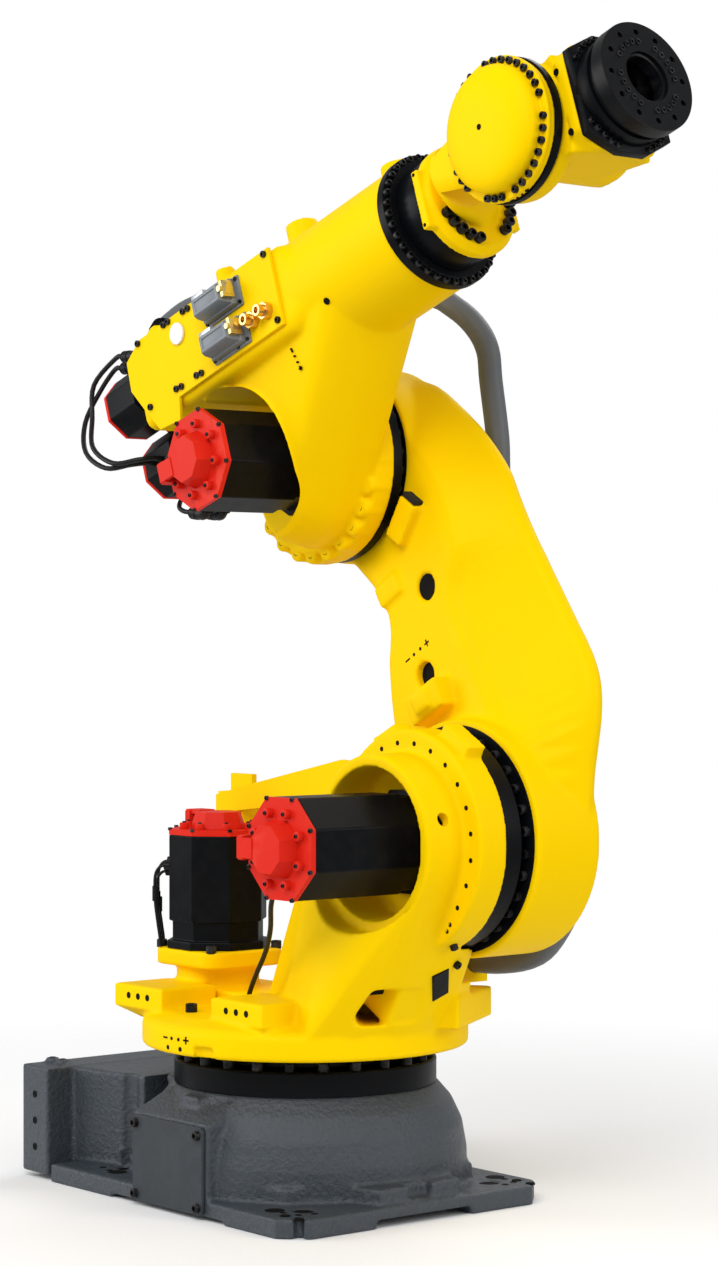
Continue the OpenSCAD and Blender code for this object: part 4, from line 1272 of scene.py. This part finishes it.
@dataclass
class HoseRun:
    """The grey conduit from the turntable over the arm to the rear box.

    Attributes:
        radius: half the conduit's diameter.
        near: places on the turntable, in millimetres from the floor's origin.
        along: places on the lower arm, in its own frame.
        over: places on the forearm, in its own frame.
    """

    tubes: Tubes
    radius: float = 0.0225
    near: tuple[Point, ...] = ((100, 284, 428), (210, 285, 428), (322, 287, 452), (386, 290, 514))
    along: tuple[Point, ...] = ((64, 296, -114), (112, 304, -12), (158, 314, 162), (176, 326, 351), (180, 334, 506), (204, 338, 629), (246, 338, 712), (289, 334, 812))
    over: tuple[Point, ...] = ((300, 326, 122), (288, 322, 174), (254, 314, 228), (196, 301, 282), (64, 249, 330), (-30, 190, 364), (-88, 122, 389), (-122, 59, 394), (-146, -1, 378), (-158, -41, 353), (-162, -53, 342.5), (-164, -62.9, 330.7))

    def points(self) -> list[Vector]:
        """The whole route's own points in metres."""
        arm, fore = LAYOUT.shoulder(), LAYOUT.elbow()
        return [mm(*p) for p in self.near] + [arm @ mm(*p) for p in self.along] + [fore @ mm(*p) for p in self.over]

    def build(self) -> None:
        """Builds both lengths, each swept across its own joint."""
        route = self.points()
        low = self.tubes.route(route[:8])
        high = self.tubes.route(route[7:])
        lower = self.tubes.sweep("conduit_to_arm", low, self.radius, 6)
        upper = self.tubes.sweep("conduit_to_forearm", high, self.radius, 6)
        for piece, node, ends, start, end, path in (
            (lower, "conduit_lower", (Body.TURNTABLE, Body.LOWER_ARM), route[1], route[6], low),
            (upper, "conduit_upper", (Body.LOWER_ARM, Body.FOREARM), route[8], route[15], high)):
            piece.data.materials.append(HOSE.material())
            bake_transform(piece)
            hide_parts(node)
            round(self.tubes.length(path), 3)
            log.info("%s: %.2f m", piece.name, self.tubes.length(path))


@dataclass
class LeadSet:
    """The wrist motors' leads, from their plugs to the lower motor."""

    tubes: Tubes
    radius: float = 0.005
    spots: tuple[Point, ...] = ((-290, -52, 292), (-238, -84, 292), (-290, 66, 292), (-238, 40, 292))

    def build(self) -> None:
        """Builds the four leads as one piece."""
        fore = LAYOUT.elbow()
        leads = []
        for x, y, z in self.spots:
            q, k = (-1 if y < 10 else 1), (x + 264) / 2
            ex, ez = x - 42.6, z + 37.6
            route = [(ex, y, ez), (ex - 22, y, ez + 7), (-376 + k, y + q * 20, 304), (-392 + k, q * 112, 240), (-376 + k, q * 136, 170),
                     (-322 + k, q * 136, 116), (-276 + k, q * 110, 106), (-264 + k, q * 82, 106), (-264 + k, q * 60.2, 106)]
            leads.append(self.tubes.sweep("lead", self.tubes.route([fore @ mm(*p) for p in route]), self.radius, 3))
        piece = Bench.join(leads, "wrist_motor_leads")
        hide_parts("motor_leads")
        dress(piece, CABLE, Body.FOREARM)


@dataclass(frozen=True)
class Studio:
    """The camera, the lamps and the pale floor.

    Attributes:
        camera_at: the camera's place.
        heading: the way that it looks, in degrees from the Y axis.
        lens: the lens in millimetres on a 36 mm long side.
    """

    camera_at: tuple[float, float, float] = (4.4146, -3.4470, 1.0400)
    heading: float = 51.0
    lens: float = 85.82

    def build(self) -> None:
        """Sets the camera, the lamps, the world and the floor."""
        scene = bpy.context.scene
        scene.view_settings.view_transform = "Standard"
        data = bpy.data.cameras.new("photo_camera")
        data.lens, data.sensor_width, data.sensor_fit = self.lens, 36.0, "AUTO"
        data.clip_end = 60.0
        camera = bpy.data.objects.new("photo_camera", data)
        camera.location = self.camera_at
        camera.rotation_euler = (math.radians(90), 0, math.radians(self.heading))
        scene.collection.objects.link(camera)
        scene.camera = camera
        self.lamp("key", (2.4, -3.6, 4.2), 3.2, 172.0)
        self.lamp("left_fill", (-3.0, -3.6, 2.2), 2.8, 100.0)
        self.lamp("right_fill", (4.6, 2.0, 2.6), 2.6, 75.0)
        self.lamp("back_top", (-1.0, 3.6, 4.6), 3.0, 80.0)
        self.world()
        self.floor()

    def lamp(self, name: str, at: Point, size: float, power: float) -> None:
        """Adds a square soft box that looks at the arm's middle."""
        data = bpy.data.lights.new(name, "AREA")
        data.size, data.energy = size, power
        lamp = bpy.data.objects.new(name, data)
        lamp.location = at
        lamp.rotation_euler = (Vector((0.1, 0, 1.0)) - Vector(at)).to_track_quat("-Z", "Y").to_euler()
        bpy.context.scene.collection.objects.link(lamp)

    @staticmethod
    def world() -> None:
        """A plain grey sky that the camera sees as white."""
        world = bpy.data.worlds.new("studio")
        world.use_nodes = True
        tree = world.node_tree
        tree.nodes.clear()
        rays = tree.nodes.new("ShaderNodeLightPath")
        soft, white = tree.nodes.new("ShaderNodeBackground"), tree.nodes.new("ShaderNodeBackground")
        soft.inputs["Color"].default_value, soft.inputs["Strength"].default_value = (1.0, 1.0, 1.0, 1.0), 0.42
        white.inputs["Color"].default_value, white.inputs["Strength"].default_value = (1.0, 1.0, 1.0, 1.0), 1.0
        mix, output = tree.nodes.new("ShaderNodeMixShader"), tree.nodes.new("ShaderNodeOutputWorld")
        tree.links.new(rays.outputs["Is Camera Ray"], mix.inputs[0])
        tree.links.new(soft.outputs[0], mix.inputs[1])
        tree.links.new(white.outputs[0], mix.inputs[2])
        tree.links.new(mix.outputs[0], output.inputs["Surface"])
        bpy.context.scene.world = world

    @staticmethod
    def floor() -> None:
        """A pale round floor that fades into the white behind it."""
        bpy.ops.mesh.primitive_circle_add(vertices=96, radius=6.0, fill_type="NGON", location=(0, 0, -0.0005))
        floor = bpy.context.object
        Bench.only(floor)
        bpy.ops.object.mode_set(mode="EDIT")
        bpy.ops.mesh.select_all(action="SELECT")
        bpy.ops.mesh.inset(thickness=3.0)
        Bench.done()
        Bench.settle(floor, "studio_floor")
        g = Graph("pale_floor")
        place = g.place()
        far = g.node("ShaderNodeVectorMath", {"operation": "LENGTH"}, {0: place}, "Value")
        fade = far.above(1.0, 2.6)
        tone = g.blend(g.noise(2.0, 2.0) * 0.3, (0.93, 0.93, 0.93), (0.90, 0.90, 0.905))
        pale = g.node("ShaderNodeBsdfDiffuse", {}, {"Color": tone})
        clear = g.node("ShaderNodeBsdfTransparent", {}, {})
        mixed = g.node("ShaderNodeMixShader", {}, {0: fade, 1: pale, 2: clear})
        output = g.tree.nodes.new("ShaderNodeOutputMaterial")
        g.tree.links.new(mixed.socket, output.inputs["Surface"])
        floor.data.materials.append(g.material)


def dress_left_nodes(nodes: dict[str, bpy.types.Object]) -> None:
    """Gives every CAD node that still shows its procedural finish.

    Args:
        nodes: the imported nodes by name.
    """
    finishes = {"slew_hub": BLACK, "shoulder_hub": BLACK, "elbow_hub": BLACK}
    for name, node in nodes.items():
        finish = finishes.get(name, BLACK)
        node.data.materials.clear()
        node.data.materials.append(finish.material())


def main() -> None:
    """Builds the arm piece by piece."""
    logging.basicConfig(level=logging.INFO, format="%(message)s")
    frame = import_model()
    Studio().build()
    foundry, machinist, fasteners, tubes = Foundry(), Machinist(), Fasteners(), Tubes()
    dress_left_nodes(frame["nodes"])
    HoseRun(tubes).build()
    LeadSet(tubes).build()
    for unit in (BaseUnit, TurntableUnit, LowerArmUnit, ForearmUnit, WristUnit):
        unit(foundry, machinist, fasteners).build()


if __name__ == "__main__":
    main()
